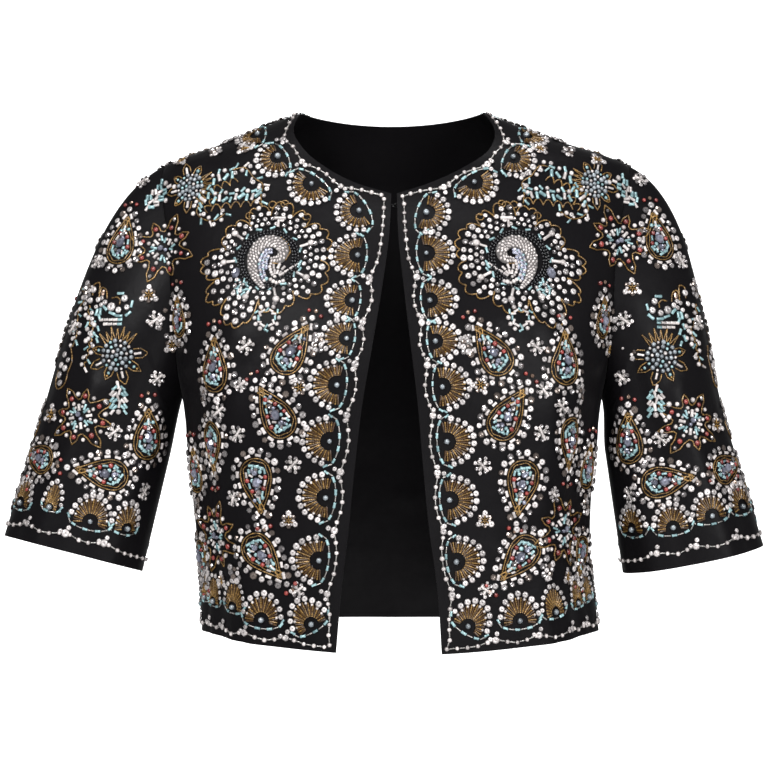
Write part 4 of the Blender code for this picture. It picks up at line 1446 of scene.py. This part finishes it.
# Motifs that mirror from side to side: their place on the wearer's right, the turn there in
# degrees counter-clockwise from upright, their size, and their place on the left where it isn't
# the mirror image. In the front view places are pixels, elsewhere millimetres.
Pair = namedtuple("Pair", "motif right turn size left", defaults=(None,))
FRONT_PAIRS = [
    Pair("medallion", (268, 258), 0, 1, (519, 258)),
    Pair("paisley", (292, 348), -27, 49, (492, 349)),
    Pair("paisley", (214, 364), 8, 48, (567, 357)),
    Pair("paisley", (273, 412), 36, 50, (510, 414)),
    Pair("paisley", (258.5, 486), 192, 49, (520.5, 488)),
    Pair("paisley", (264.7, 557), -134, 48, (517.3, 559)),
    Pair("paisley", (213, 448), 184, 47, (570, 444)),
    Pair("star", (217.3, 536), 0, 29, (563.6, 530)),
    Pair("paisley", (195.5, 470), 6, 40, (588, 466)),
    Pair("grape", (198, 511), 0, 0.8, (585, 507)),
    Pair("paisley", (202, 560), -160, 36, (580, 556)),
    Pair("snowflake", (245.7, 345.8), 0, 1, (536.2, 346.8)),
    Pair("snowflake", (237.3, 434.2), 20, 1, (543.6, 390)),
    Pair("snowflake", (293, 464.7), 10, 1, (482.6, 465.7)),
    Pair("snowflake", (234.2, 498.3), 30, 1, (541.5, 433)),
    Pair("snowflake", (219.4, 411), 0, 1, (561.5, 406.8)),
    Pair("snowflake", (241, 385), 0, 0.8, (553, 494)),
    Pair("trefoil", (299.5, 387.5), 30, 1.1, (480.5, 385)),
    Pair("trefoil", (288.9, 520.4), 0, 1.0, (484.7, 520.4)),
    Pair("trefoil", (222.6, 580.4), 0, 1.0, (567, 577)),
    Pair("grape", (318, 345), 0, 0.75, (466, 347)),
    Pair("grape", (236, 575), 40, 0.8, (548, 572)),
    Pair("grape", (205, 398), 10, 0.8, (580, 396)),
    Pair("grape", (203, 574), 0, 0.8, (591, 572)),
    Pair("snowflake", (298, 590), 0, 0.9, (486, 590)),
    Pair("cluster_flower", (190.5, 187.5), -95, 21, (594, 184)),
    Pair("sprig", (155, 199), -38, 26, (628, 196)),
    Pair("leaf", (236, 201), 6, 46, (548, 199)),
    Pair("leaf", (224, 181), 24, 24, (560, 179)),
    Pair("leaf", (209, 200), 60, 22, (576, 198)),
    Pair("trefoil", (244.5, 149), 30, 1.0, (540, 149)),
    Pair("grape", (216, 152), 50, 0.8, (568, 152)),
    Pair("snowflake", (143.5, 182), 0, 0.9, (640, 180)),
    Pair("trefoil", (182, 161), 0, 1.0, (597, 160)),
    Pair("star", (163.3, 249.3), 0, 28, (618.5, 241.5)),
    Pair("paisley", (121.5, 240), 0, 46, (658.7, 236)),
    Pair("trefoil", (149, 295), 0, 1.1, (632, 288)),
    Pair("snowflake", (155.4, 320), 0, 1, (624.3, 320)),
    Pair("paisley", (178, 317), 8, 36, (604, 318)),
    Pair("spray", (118, 303), 0, 1, (661, 306)),
    Pair("grape", (88, 292), 20, 0.8, (694, 290)),
    Pair("snowflake", (97.7, 262), 30, 0.9, (681, 262)),
    Pair("cluster_flower", (117, 355), 0, 23, (661.6, 356.5)),
    Pair("sprig", (118.6, 395), 180, 22, (655.9, 398)),
    Pair("stone_lobe", (63.5, 369), -8, 1, (712, 367)),
    Pair("snowflake", (157, 378.4), 10, 0.9, (622.4, 377.5)),
    Pair("trefoil", (172, 345), 10, 1.0, (608, 350)),
    Pair("snowflake", (113.8, 432), 0, 1, (661, 438.7)),
    Pair("star", (80, 416.7), -35, 26, (691, 422.5)),
    Pair("trefoil", (51.7, 414.8), 0, 1.2, (716, 424.4)),
    Pair("paisley", (147.3, 434), 4, 46, (629, 438)),
    Pair("paisley", (101.4, 474.1), 84, 47, (668.3, 481.8)),
    Pair("paisley", (38, 458), 76, 44, (728, 468)),
    Pair("snowflake", (143.5, 491.3), 20, 1.1, (630, 495)),
    Pair("snowflake", (74, 328), 20, 0.9, (698, 323)),
]
# The top of the shoulders, seen from above: across and towards the back
TOP_PAIRS = [
    Pair("paisley", (-128, 20), 80, 42, (130, 20)),
    Pair("star", (-178, 22), 0, 22, (182, 22)),
    Pair("grape", (-150, -8), 90, 0.9, (152, -8)),
    Pair("trefoil", (-104, 4), 0, 1.0, (106, 4)),
    Pair("snowflake", (-208, 4), 0, 1.0, (212, 4)),
    Pair("trefoil", (-154, 44), 0, 1.0, (156, 44)),
]
# The back and the back of the shoulders: across and up
BACK_PAIRS = [
    Pair("medallion", (-92, -128), 0, 1),
    Pair("paisley", (-50, -236), 30, 49),
    Pair("paisley", (-102, -242), -8, 49),
    Pair("paisley", (-62, -300), 192, 49),
    Pair("paisley", (-118, -312), 12, 48),
    Pair("paisley", (-42, -372), -30, 48),
    Pair("paisley", (-94, -380), 150, 48),
    Pair("paisley", (-152, -262), 184, 46),
    Pair("star", (-142, -372), 0, 26),
    Pair("cluster_flower", (-24, -120), 30, 21),
    Pair("sprig", (-20, -170), 170, 23),
    Pair("star", (-62, -50), 10, 22),
    Pair("snowflake", (-58, -196), 0, 1),
    Pair("snowflake", (-16, -262), 0, 1),
    Pair("snowflake", (-92, -340), 0, 1),
    Pair("snowflake", (-17, -342), 20, 1),
    Pair("trefoil", (-66, -410), 0, 1),
    Pair("trefoil", (-120, -408), 0, 1),
    Pair("trefoil", (-124, -212), 0, 1),
    Pair("grape", (-86, -200), 0, 0.8),
    Pair("grape", (-20, -408), 0, 0.8),
    Pair("trefoil", (-170, -92), 0, 1.1),
    Pair("grape", (-174, -146), 0, 0.9),
    Pair("snowflake", (-172, -200), 0, 1),
    Pair("sprig", (-120, -54), 60, 22),
    Pair("cluster_flower", (0, -66), 90, 19),
    Pair("star", (0, -208), 0, 21),
    Pair("cluster_flower", (0, -302), 0, 20),
    Pair("paisley", (0, -396), 180, 40),
    Pair("star", (-160, -70), 0, 20),
    Pair("paisley", (-152, -196), 160, 38),
    Pair("paisley", (-166, -326), -10, 38),
    Pair("snowflake", (-172, -372), 0, 0.9),
    Pair("grape", (-164, -412), 20, 0.9),
    Pair("paisley", (-222, -92), 24, 40),
    Pair("trefoil", (-208, -244), 0, 1),
    Pair("grape", (-216, -300), 0, 0.9, (214, -300)),
    Pair("trefoil", (-262, -218), 0, 1.1, (260, -218)),
]
# The sleeves' outer faces: towards the back and up
OUTER_PAIRS = [
    Pair("snowflake", (46, -110), 0, 1),
    Pair("star", (34, -150), 0, 24),
    Pair("paisley", (10, -205), 0, 46),
    Pair("trefoil", (6, -120), 0, 1.1),
    Pair("cluster_flower", (34, -262), 0, 22),
    Pair("sprig", (32, -300), 180, 22),
    Pair("stone_lobe", (-14, -282), 0, 1),
    Pair("paisley", (-2, -350), 70, 46),
    Pair("star", (30, -345), 0, 22),
    Pair("snowflake", (14, -318), 0, 1),
    Pair("snowflake", (42, -214), 0, 1),
]
# The backs of the sleeves: across and up
SLEEVE_BACK_PAIRS = [
    Pair("paisley", (-222, -150), 10, 45, (224, -150)),
    Pair("star", (-226, -212), 0, 24),
    Pair("paisley", (-250, -272), -6, 46, (248, -272)),
    Pair("snowflake", (-222, -262), 0, 1, (220, -262)),
    Pair("paisley", (-266, -342), 80, 46, (260, -342)),
    Pair("snowflake", (-234, -316), 0, 1, (230, -316)),
    Pair("trefoil", (-278, -304), 0, 1, (272, -304)),
    Pair("star", (-236, -356), 0, 20, (232, -360)),
]
# Each list with the view that its places are looked for in, in the order of sewing
VIEWS = [
    ("front", FRONT_PAIRS), ("top", TOP_PAIRS), ("back", BACK_PAIRS), ("side", OUTER_PAIRS),
    ("back", SLEEVE_BACK_PAIRS),
]
MOTIFS = {
    "medallion": medallion, "paisley": paisley, "star": star, "cluster_flower": cluster_flower,
    "sprig": sprig, "leaf": leaf, "snowflake": snowflake, "trefoil": trefoil, "grape": grape,
    "spray": spray, "stone_lobe": stone_lobe,
}

# Fans along the edges in the front view: the pixels of their pearls along the neck, then down
# the front edge and along the hem, and round each cuff. With them go how deep the fans are, the
# side view that the last one is found in, and half widths where the spacing doesn't give them
Run = namedtuple("Run", "deep pearls side wide", defaults=(None, None))
HEM_WIDE = (None, None, None, None, None, None, None, 17, 18, 13, 11, 9, 11)
FAN_RUNS = [
    Run(20, [(258, 135), (278.1, 156.8), (311.7, 184), (359, 211)]),
    Run(24, [(357.7, 255.5), (352.1, 300.6), (346.6, 338.5), (336.9, 385.1), (329.5, 441.1),
             (325.7, 497.7), (319, 560.4), (311.4, 624.2), (261.5, 620), (233, 607), (214, 601),
             (205.5, 597)], "right", HEM_WIDE),
    Run(20, [(525.8, 136), (512.9, 157.3), (474.2, 182.3), (426.3, 212.8)]),
    Run(24, [(426.3, 253.3), (429.8, 300.6), (435.4, 341.4), (442.2, 386.8), (446.8, 441.5),
             (449.5, 500), (456.3, 561.5), (467.9, 626.1), (519.8, 620.8), (555, 612),
             (577, 603), (588, 597)], "left", HEM_WIDE),
    Run(24, [(21, 503), (50, 507), (90, 521.5), (126.3, 528.6)], None, (15, 9, 18.5, 14)),
    Run(22, [(632.9, 529.6), (673, 527.7), (712, 516), (742, 506.7)]),
]
# The pearl nearest the side seam, seen from that side: towards the back and up
SIDE_PEARL = (-24, -450)
# Along the back's edges and the backs of the cuffs: steps of the fans, how deep they are, and how
# far their pearls lie inside the edge; a cuff's back is this share of it
FAN_PITCH, NECK_PITCH = 44, 36
HEM_DEEP, NECK_DEEP, CUFF_DEEP = 20, 18, 22
FAN_INSET = 21
CUFF_BACK = (0.53, 0.99)
# Half widths that a fan may have, how much less that is than half the way to the next one, and
# how much deeper than its half width a fan may be, also where its width is given
FAN_LEAST, FAN_MOST, FAN_ROOM = 11, 20.5, 2
FAN_TALLER, GIVEN_TALLER = 5, 15
# Fans further apart than this have no joint between them
JOINT_SPAN = 65


def edge_places(ground, line, pitch, up):
    """Places at even steps along an edge, one fan's depth up or down from it."""
    length = np.linalg.norm(np.diff(line, axis=0), axis=1).sum()
    count = max(1, round(length / pitch))
    path = resample(line, length / (2 * count))
    return [ground.settle(point + (0, 0, up * FAN_INSET)) for point in path[1::2]]


def fan_runs(ground, panels):
    """Rows of pearls along every edge, with how deep their fans are and their half widths."""
    runs = []
    for run in FAN_RUNS:
        places = [seen_from(ground, "front", *pearl) for pearl in run.pearls]
        if run.side:
            places.append(seen_from(ground, run.side, *SIDE_PEARL))
        runs.append((run.deep, places, run.wide))
    for panel in panels:
        if panel.name == "back":
            hem, neck = ground.edges["back"]
            runs.append((HEM_DEEP, edge_places(ground, hem, FAN_PITCH, up=1), None))
            runs.append((NECK_DEEP, edge_places(ground, neck, NECK_PITCH, up=-1), None))
        if panel.ring:
            cuff = ground.edges[panel.name][0]
            start, end = (round(share * len(cuff)) for share in CUFF_BACK)
            places = edge_places(ground, cuff[start:end], FAN_PITCH, up=1)
            runs.append((CUFF_DEEP, places, None))
    return runs


def draw_fans(work, runs):
    """Fans that face away from the edges; returns the places where two of them meet."""
    joints = []
    for deep, places, widths in runs:
        points = np.array([place[0] for place in places])
        gaps = np.linalg.norm(np.diff(points, axis=0), axis=1)
        for i, place in enumerate(places):
            room = np.mean(gaps[max(i - 1, 0):i + 1]) / 2 - FAN_ROOM
            wide, taller = float(np.clip(room, FAN_LEAST, FAN_MOST)), FAN_TALLER
            if widths and widths[i]:
                wide, taller = widths[i], GIVEN_TALLER
            up = work.ground.from_edges(place[0])
            fan(Chart(work, place, up), wide, min(deep, wide + taller))
        joints += [(a + b) / 2 for a, b, gap in zip(points, points[1:], gaps) if gap < JOINT_SPAN]
    return [(work.ground.nearest_edge(joint), joint) for joint in joints]


# How far inside an edge its string of beads runs, and how much further at a joint of two fans
Inset = namedtuple("Inset", "level upright dip")
CUFF_INSET = Inset(11.5, 11.5, 4.5)
BODY_INSET = Inset(4.6, 7.8, 4.5)
# How near a joint the string bends inwards, its beads' pitch, and how exactly it keeps its depth
JOINT_REACH, CHAIN_PITCH, DEPTH_PLAY = 12, 9.2, 1.2
# The three cups at a joint: place and size
JOINT_CUPS = ((0, 0, 7.0), (-4.8, 1.0, 4.8), (1.6, 5.4, 4.8))


def draw_chains(work, joints):
    """A string of white beads and thin silver tubes just inside every open edge."""
    ground = work.ground
    meeting = np.array([edge for edge, _ in joints])
    for name, lines in ground.edges.items():
        inset = CUFF_INSET if name.startswith("sleeve") else BODY_INSET
        for line in lines:
            line = resample(line, 3.0)
            ahead = unit(np.gradient(line, axis=0))
            near = np.min(np.linalg.norm(line[:, None] - meeting[None], axis=2), axis=1)
            depth = inset.level + (inset.upright - inset.level) * np.abs(ahead[:, 2]) ** 6
            depth = depth + inset.dip * np.exp(-((near / JOINT_REACH) ** 2))
            chain_along(work, line, ahead, depth)
    for edge, joint in joints:
        sleeve = ground.settle(edge)[2].startswith("sleeve")
        inset = CUFF_INSET if sleeve else BODY_INSET
        inward = unit(joint - edge)
        level = inset.level + (inset.upright - inset.level) * (1 - inward[2] ** 2) ** 3
        place = ground.settle(edge + inward * (level + inset.dip))
        chart = Chart(work, place, inward)
        for u, v, size in JOINT_CUPS:
            chart.add("sequin", (u, v), 0, size)


def chain_along(work, line, ahead, depth):
    """Strings beads at a depth inside one edge, on the side of it where the cloth lies."""
    settle = work.ground.settle
    normals = np.array([settle(point)[1] for point in line])
    across = np.cross(normals, ahead) * depth[:, None]
    sides = []
    for sign in (-1, 1):
        moved = np.array([settle(point)[0] for point in line + sign * across])
        away = np.min(np.linalg.norm(line[:, None] - moved[None], axis=2), axis=0)
        sides.append((away.sum(), moved[away > depth - DEPTH_PLAY]))
    string_beads(work, max(sides, key=lambda side: side[0])[1])


def string_beads(work, path):
    """Beads at even steps along a path, with a tube from each to the next."""
    settle = work.ground.settle
    steps = resample(path, CHAIN_PITCH)
    for here, there in zip(steps, steps[1:]):
        gap = there - here
        work.put("seed", settle(here), gap, 4.3)
        length = np.linalg.norm(gap)
        if length < 2 * CHAIN_PITCH:
            work.put("thin_bar", settle(here + gap / 2), gap, length - 4.2)


def pair_places(view, pair):
    """A motif's places on the right and the left; on the middle line it has only one."""
    across, other = pair.right
    if pair.left:
        left = pair.left
    elif view == "side":
        left = pair.right
    else:
        left = (-across, other) if across else None
    return ((1, pair.right), (-1, left)) if left else ((1, pair.right),)


def draw_pair(work, view, pair):
    """Sews a motif down on the wearer's right, and mirrored on the left."""
    for side, place in pair_places(view, pair):
        sight = view
        if view == "side":
            sight = "right" if side > 0 else "left"
        landed = seen_from(work.ground, sight, *place)
        if landed is None:
            print("no cloth under", pair.motif, place)
            continue
        up = (side, 0, 0) if view == "top" else (0, 0, 1)
        mirror = side if view in ("front", "top") else -side
        chart = Chart(work, landed, up, pair.turn * mirror, mirror)
        MOTIFS[pair.motif](chart, pair.size)
        if pair.motif == "medallion" and view == "back":
            flat_curl(chart)


def make_beadwork(ground, panels, materials):
    """All beads and cords: motifs, trails, fans, edge strings, then the padded curls."""
    work = Beadwork(ground)
    for view, pairs in VIEWS:
        for pair in pairs:
            draw_pair(work, view, pair)
    for wave, pixels in TRAILS:
        trail(work, wave, pixels)
        trail(work, wave, [(TRAIL_MIRROR - px, py - TRAIL_HIGHER) for px, py in pixels])
    draw_chains(work, draw_fans(work, fan_runs(ground, panels)))
    for side in (-1, 1):
        curl_beads(work, side)
    work.join(materials)


# Rows of beads along the curl, how wide a lane is, and the share of its length with a band
CURL_ROWS = 36
CURL_LANE = 2.9
CURL_BAND = (0.32, 0.93)
BAND = ("aqua_seed", "lilac_seed", "lilac_seed", "curl_seed", "lilac_seed")
# Cells of the padding along and across the curl, and how tight it is
PAD_ROWS, PAD_LANES, PAD_FILL = 70, 13, 0.9


def curl_frame(stations):
    """The middle line of the curl and its heading at even steps: outward, up, half width."""
    line = along_curve(CURL, stations)
    return line, unit(np.gradient(line[:, :2], axis=0))


def curl_points(side, line, ahead, across, lift):
    """Points over the curl at shares of its width, with the cloth's normals under them."""
    half = line[:, 2:3]
    out = MEDALLION_OUT + line[:, 0:1] + ahead[:, 1:2] * half * across
    height = MEDALLION_HEIGHT + line[:, 1:2] - ahead[:, 0:1] * half * across
    angle = angle_across(out, height)
    normals = torso_normal("front", side, angle, height)
    dome = CURL_RISE * np.sqrt(np.clip(1 - across**2, 0, 1)) * np.sqrt(half / CURL_FULL)
    points = torso_point("front", side, angle, height)
    return points + normals * (CURL_LIFT + lift * (CURL_RIM + dome))[..., None], normals


def make_padding(material):
    """The felt padding under each beaded curl, on the form of its solid."""
    line, ahead = curl_frame(PAD_ROWS)
    across = np.linspace(-1, 1, PAD_LANES)[None, :]
    for name, side in (("right", -1), ("left", 1)):
        top, _ = curl_points(side, line, ahead, across, 1)
        base, _ = curl_points(side, line, ahead, across, 0)
        pad = wall_object("curl_padding_" + name, top, base, False, side < 0, material)
        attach(pad, "root")
        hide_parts("medallion_curl_" + name)


def curl_beads(work, side):
    """Slanted rows of seed beads over the padded curl, and an aqua and lilac band inside it."""
    line, ahead = curl_frame(CURL_ROWS)
    for i, (_, _, half) in enumerate(line):
        row = (side, line[i:i + 1], ahead[i:i + 1])
        ends, _ = curl_points(*row, np.array([[-1.0, 1.0]]), 1)
        inward = unit(ends[0][1] - ends[0][0])
        across = curl_lanes(half, i)
        points, normals = curl_points(*row, across[None, :], 1)
        for share, point, normal in zip(across, points[0], normals[0]):
            lean = unit(normal + inward * 0.75 * share)
            along = inward + np.cross(normal, inward) * side * (0.8 + 0.2 * math.sin(3 * i))
            work.put("curl_seed", (point, lean, "front"), along, lift=-0.9)
        for k, away in enumerate(band_lanes(i)):
            points, normals = curl_points(*row, 1 + np.array([[away / half]]), 0)
            along = inward + np.cross(normals[0][0], inward) * math.sin(5 * i + 2 * k)
            work.put(band_sort(i, k), (points[0][0], normals[0][0], "front"), along, 3.8)


def curl_lanes(half, row):
    """Shares of the curl's width where a row has its beads, in brick order."""
    lanes = max(1, round(2 * half / CURL_LANE))
    shift = 0.5 * (row % 2) if lanes > 2 else 0
    return (2 * np.arange(lanes - (row % 2 and lanes > 2)) + 1 + 2 * shift) / lanes - 1


def band_lanes(row):
    """How far inside the curl each lane of the band lies beside a row of it."""
    share = row / CURL_ROWS
    if not CURL_BAND[0] < share < CURL_BAND[1]:
        return []
    drift = 0.4 * math.sin(2.7 * row)
    return [1.6 + drift, 4.6 + drift, 7.4 - drift] if 0.5 < share < 0.8 else [1.6 + drift, 4.4]


def band_sort(row, lane):
    """The sort of bead at a row and lane of the band."""
    return BAND[(row + 2 * lane) % len(BAND)]


def flat_curl(chart):
    """The same curl without padding, for the medallions of the back."""
    line, ahead = curl_frame(CURL_ROWS)
    for i, ((out, up, half), (x, y)) in enumerate(zip(line, ahead)):
        for share in curl_lanes(half, i):
            spot = (-(out + y * half * share), up - x * half * share)
            heading = math.degrees(math.atan2(-x, -y)) + 35
            chart.add("curl_seed", spot, heading)
        for k, away in enumerate(band_lanes(i)):
            spot = (-(out + y * (half + away)), up - x * (half + away))
            chart.add(band_sort(i, k), spot, 40 * i, 3.8)


def set_inputs(node, values):
    """Sets a node's inputs by their names."""
    for name, value in values.items():
        node.inputs[name].default_value = value


def new_material(name, values):
    """A material whose shader has the given values."""
    material = bpy.data.materials.new(name)
    material.use_nodes = True
    shader = material.node_tree.nodes["Principled BSDF"]
    set_inputs(shader, values)
    return material, material.node_tree, shader


def add_node(tree, kind, values=()):
    """A node of a material with the given values."""
    node = tree.nodes.new("ShaderNode" + kind)
    set_inputs(node, dict(values))
    return node


def noise_onto(tree, scale, detail, spread, socket):
    """Drives a number of the shader with noise over the object; returns its coordinates."""
    where = add_node(tree, "TexCoord").outputs["Object"]
    noise = add_node(tree, "TexNoise", {"Scale": scale, "Detail": detail})
    level = add_node(tree, "MapRange", {"To Min": spread[0], "To Max": spread[1]})
    tree.links.new(where, noise.inputs["Vector"])
    tree.links.new(noise.outputs["Fac"], level.inputs["Value"])
    tree.links.new(level.outputs["Result"], socket)
    return where


def make_satin():
    """Black satin: a fine slanted weave, uneven gloss and small soft puckers."""
    material, tree, shader = new_material("black_satin", {
        "Base Color": (0.0040, 0.0036, 0.0042, 1), "Specular IOR Level": 0.065,
        "Sheen Weight": 0.01, "Sheen Roughness": 0.4,
    })
    where = noise_onto(tree, 40, 4, (0.33, 0.48), shader.inputs["Roughness"])
    weave = add_node(tree, "TexWave", {"Scale": 600, "Distortion": 1.5})
    pucker = add_node(tree, "TexNoise", {"Scale": 55, "Detail": 3})
    fine = add_node(tree, "Bump", {"Strength": 0.10, "Distance": 0.0002})
    soft = add_node(tree, "Bump", {"Strength": 0.35, "Distance": 0.002})
    tree.links.new(where, weave.inputs["Vector"])
    tree.links.new(where, pucker.inputs["Vector"])
    tree.links.new(weave.outputs["Color"], fine.inputs["Height"])
    tree.links.new(pucker.outputs["Fac"], soft.inputs["Height"])
    tree.links.new(fine.outputs["Normal"], soft.inputs["Normal"])
    tree.links.new(soft.outputs["Normal"], shader.inputs["Normal"])
    return material


def make_felt():
    """Off-white felt, coloured dark grey as painted shade between the beads."""
    material, tree, shader = new_material("felt", {"Base Color": (0.10, 0.092, 0.09, 1)})
    noise_onto(tree, 900, 3, (0.7, 0.95), shader.inputs["Roughness"])
    return material


# Bead materials: darkest colour, where the painted shade falls, and lightest colour, where the
# painted highlight falls; roughness, metallic and coat
Glass = namedtuple("Glass", "dark light roughness metallic coat")
GLASSES = {
    "white_bead": Glass((0.06, 0.05, 0.05), (0.62, 0.57, 0.555), 0.22, 0.10, 0.5),
    "white_cup": Glass((0.03, 0.027, 0.03), (0.68, 0.63, 0.62), 0.20, 0.40, 0.6),
    "crystal": Glass((0.03, 0.027, 0.03), (0.60, 0.56, 0.56), 0.14, 0.80, 0.3),
    "smoke": Glass((0.02, 0.015, 0.013), (0.34, 0.28, 0.25), 0.12, 0.75, 0.5),
    "silver": Glass((0.08, 0.075, 0.07), (0.50, 0.48, 0.46), 0.25, 0.7, 0.0),
    "aqua": Glass((0.015, 0.05, 0.06), (0.30, 0.46, 0.48), 0.20, 0.15, 0.5),
    "red": Glass((0.025, 0.002, 0.002), (0.26, 0.042, 0.035), 0.15, 0.1, 0.7),
    "champagne": Glass((0.06, 0.030, 0.02), (0.50, 0.36, 0.28), 0.15, 0.7, 0.3),
    "gold_cord": Glass((0.016, 0.006, 0.001), (0.37, 0.215, 0.062), 0.26, 0.40, 0.3),
    # Amber glass, darkened to near black: partly its own colour, partly painted shadow under it
    "amber": Glass((0.008, 0.003, 0.001), (0.06, 0.026, 0.005), 0.26, 0.10, 0.25),
    "lavender": Glass((0.02, 0.022, 0.035), (0.30, 0.31, 0.39), 0.10, 0.5, 0.6),
    "pearl": Glass((0.022, 0.026, 0.032), (0.28, 0.31, 0.335), 0.16, 0.3, 0.8),
    "black_glass": Glass((0.001, 0.001, 0.0015), (0.006, 0.006, 0.008), 0.16, 0.0, 0.3),
    "black_metal": Glass((0.010, 0.010, 0.010), (0.030, 0.030, 0.030), 0.30, 0.8, 0.2),
}


# Where a bead reaches its lightest colour, and how its roughness varies over it
LIGHTEST_AT, ROUGHNESS_SPREAD = 0.9, (0.7, 1.5)


def make_glass(name, glass):
    """Glass or metal beads that differ a little from one to the next."""
    material, tree, shader = new_material(name, {
        "Metallic": glass.metallic, "Coat Weight": glass.coat, "Coat Roughness": 0.08,
    })
    # The stored light picks the base colour between the dark and the light one, so painted shade
    # and painted highlight go into the colour
    light = add_node(tree, "Attribute")
    light.attribute_name = "light"
    colours = add_node(tree, "ValToRGB")
    dark, lightest = colours.color_ramp.elements
    dark.color, lightest.color = (*glass.dark, 1), (*glass.light, 1)
    lightest.position = LIGHTEST_AT
    tree.links.new(light.outputs["Fac"], colours.inputs["Fac"])
    tree.links.new(colours.outputs["Color"], shader.inputs["Base Color"])
    spread = [glass.roughness * share for share in ROUGHNESS_SPREAD]
    noise_onto(tree, 300, 2, spread, shader.inputs["Roughness"])
    return material


def finish_wires(metal):
    """Black metal on the hook and the eye, which stay the CAD's solids."""
    for name in ("hook", "eye"):
        for entry in bpy.data.objects[name].material_slots:
            entry.material = metal


Lamp = namedtuple("Lamp", "name place size power")
LAMPS = [
    Lamp("key", (-1.0, -1.9, 0.9), 0.7, 44),
    Lamp("fill", (1.3, -1.8, 0.2), 0.8, 26),
    Lamp("top", (0.1, -0.5, 1.5), 0.7, 18),
    Lamp("low", (0.2, -1.9, -0.9), 0.8, 8),
    Lamp("back", (0.0, 2.3, 0.5), 0.7, 46),
]
LOOK_AT = (0, 0, -0.25)
FLOOR_HEIGHT = -1.0
WALL_RADIUS = 4
WALL_SIDES = 48


def make_card(name, points, faces, material):
    """A face of the studio; only the floor throws light back onto the jacket."""
    card = mesh_object(name, np.array(points, float), faces, material)
    card.visible_glossy = False
    card.visible_diffuse = name == "floor"


def make_camera():
    """The front view's camera, level and square to the jacket."""
    data = bpy.data.cameras.new("camera")
    data.sensor_width = SENSOR_MM
    data.lens = SENSOR_MM * -CAMERA[1] / (PIXELS * PIXEL_MM)
    camera = bpy.data.objects.new("camera", data)
    camera.location = Vector(CAMERA) * MM
    camera.rotation_euler = (QUARTER, 0, 0)
    bpy.context.scene.collection.objects.link(camera)
    bpy.context.scene.camera = camera


def make_lamp(lamp):
    """A soft square light that the camera doesn't see."""
    data = bpy.data.lights.new(lamp.name, "AREA")
    data.size = lamp.size
    data.energy = lamp.power
    light = bpy.data.objects.new(lamp.name, data)
    light.location = lamp.place
    light.visible_camera = False
    ahead = Vector(LOOK_AT) - Vector(lamp.place)
    light.rotation_euler = ahead.to_track_quat("-Z", "Y").to_euler()
    bpy.context.scene.collection.objects.link(light)


def make_stage():
    """A white studio: a bright floor and wall, with lights from all sides, above and below."""
    white, _, _ = new_material("white_studio", {
        "Base Color": (0.9, 0.9, 0.9, 1), "Emission Color": (1, 1, 1, 1),
        "Emission Strength": 0.95,
    })
    count = WALL_SIDES
    round_wall = [polar(WALL_RADIUS, 360 * k / count) for k in range(count)]
    foot = [(x, y, FLOOR_HEIGHT) for x, y in round_wall]
    rim = [(x, y, WALL_RADIUS) for x, y in round_wall]
    make_card("floor", foot, [tuple(range(count))], white)
    sides = [(k, (k + 1) % count, (k + 1) % count + count, k + count) for k in range(count)]
    make_card("wall", foot + rim, sides, white)

    world = bpy.data.worlds.new("studio")
    bpy.context.scene.world = world
    world.use_nodes = True
    sky = {"Color": (1, 1, 1, 1), "Strength": 0.22}
    set_inputs(world.node_tree.nodes["Background"], sky)
    for lamp in LAMPS:
        make_lamp(lamp)
    bpy.context.scene.view_settings.view_transform = "Standard"


def main():
    """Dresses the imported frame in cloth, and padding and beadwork."""
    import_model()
    make_camera()
    make_stage()
    materials = {name: make_glass(name, glass) for name, glass in GLASSES.items()}
    panels = make_panels()
    make_cloth(panels, make_satin())
    make_padding(make_felt())
    finish_wires(materials["black_metal"])
    make_beadwork(Ground(panels), panels, materials)


main()
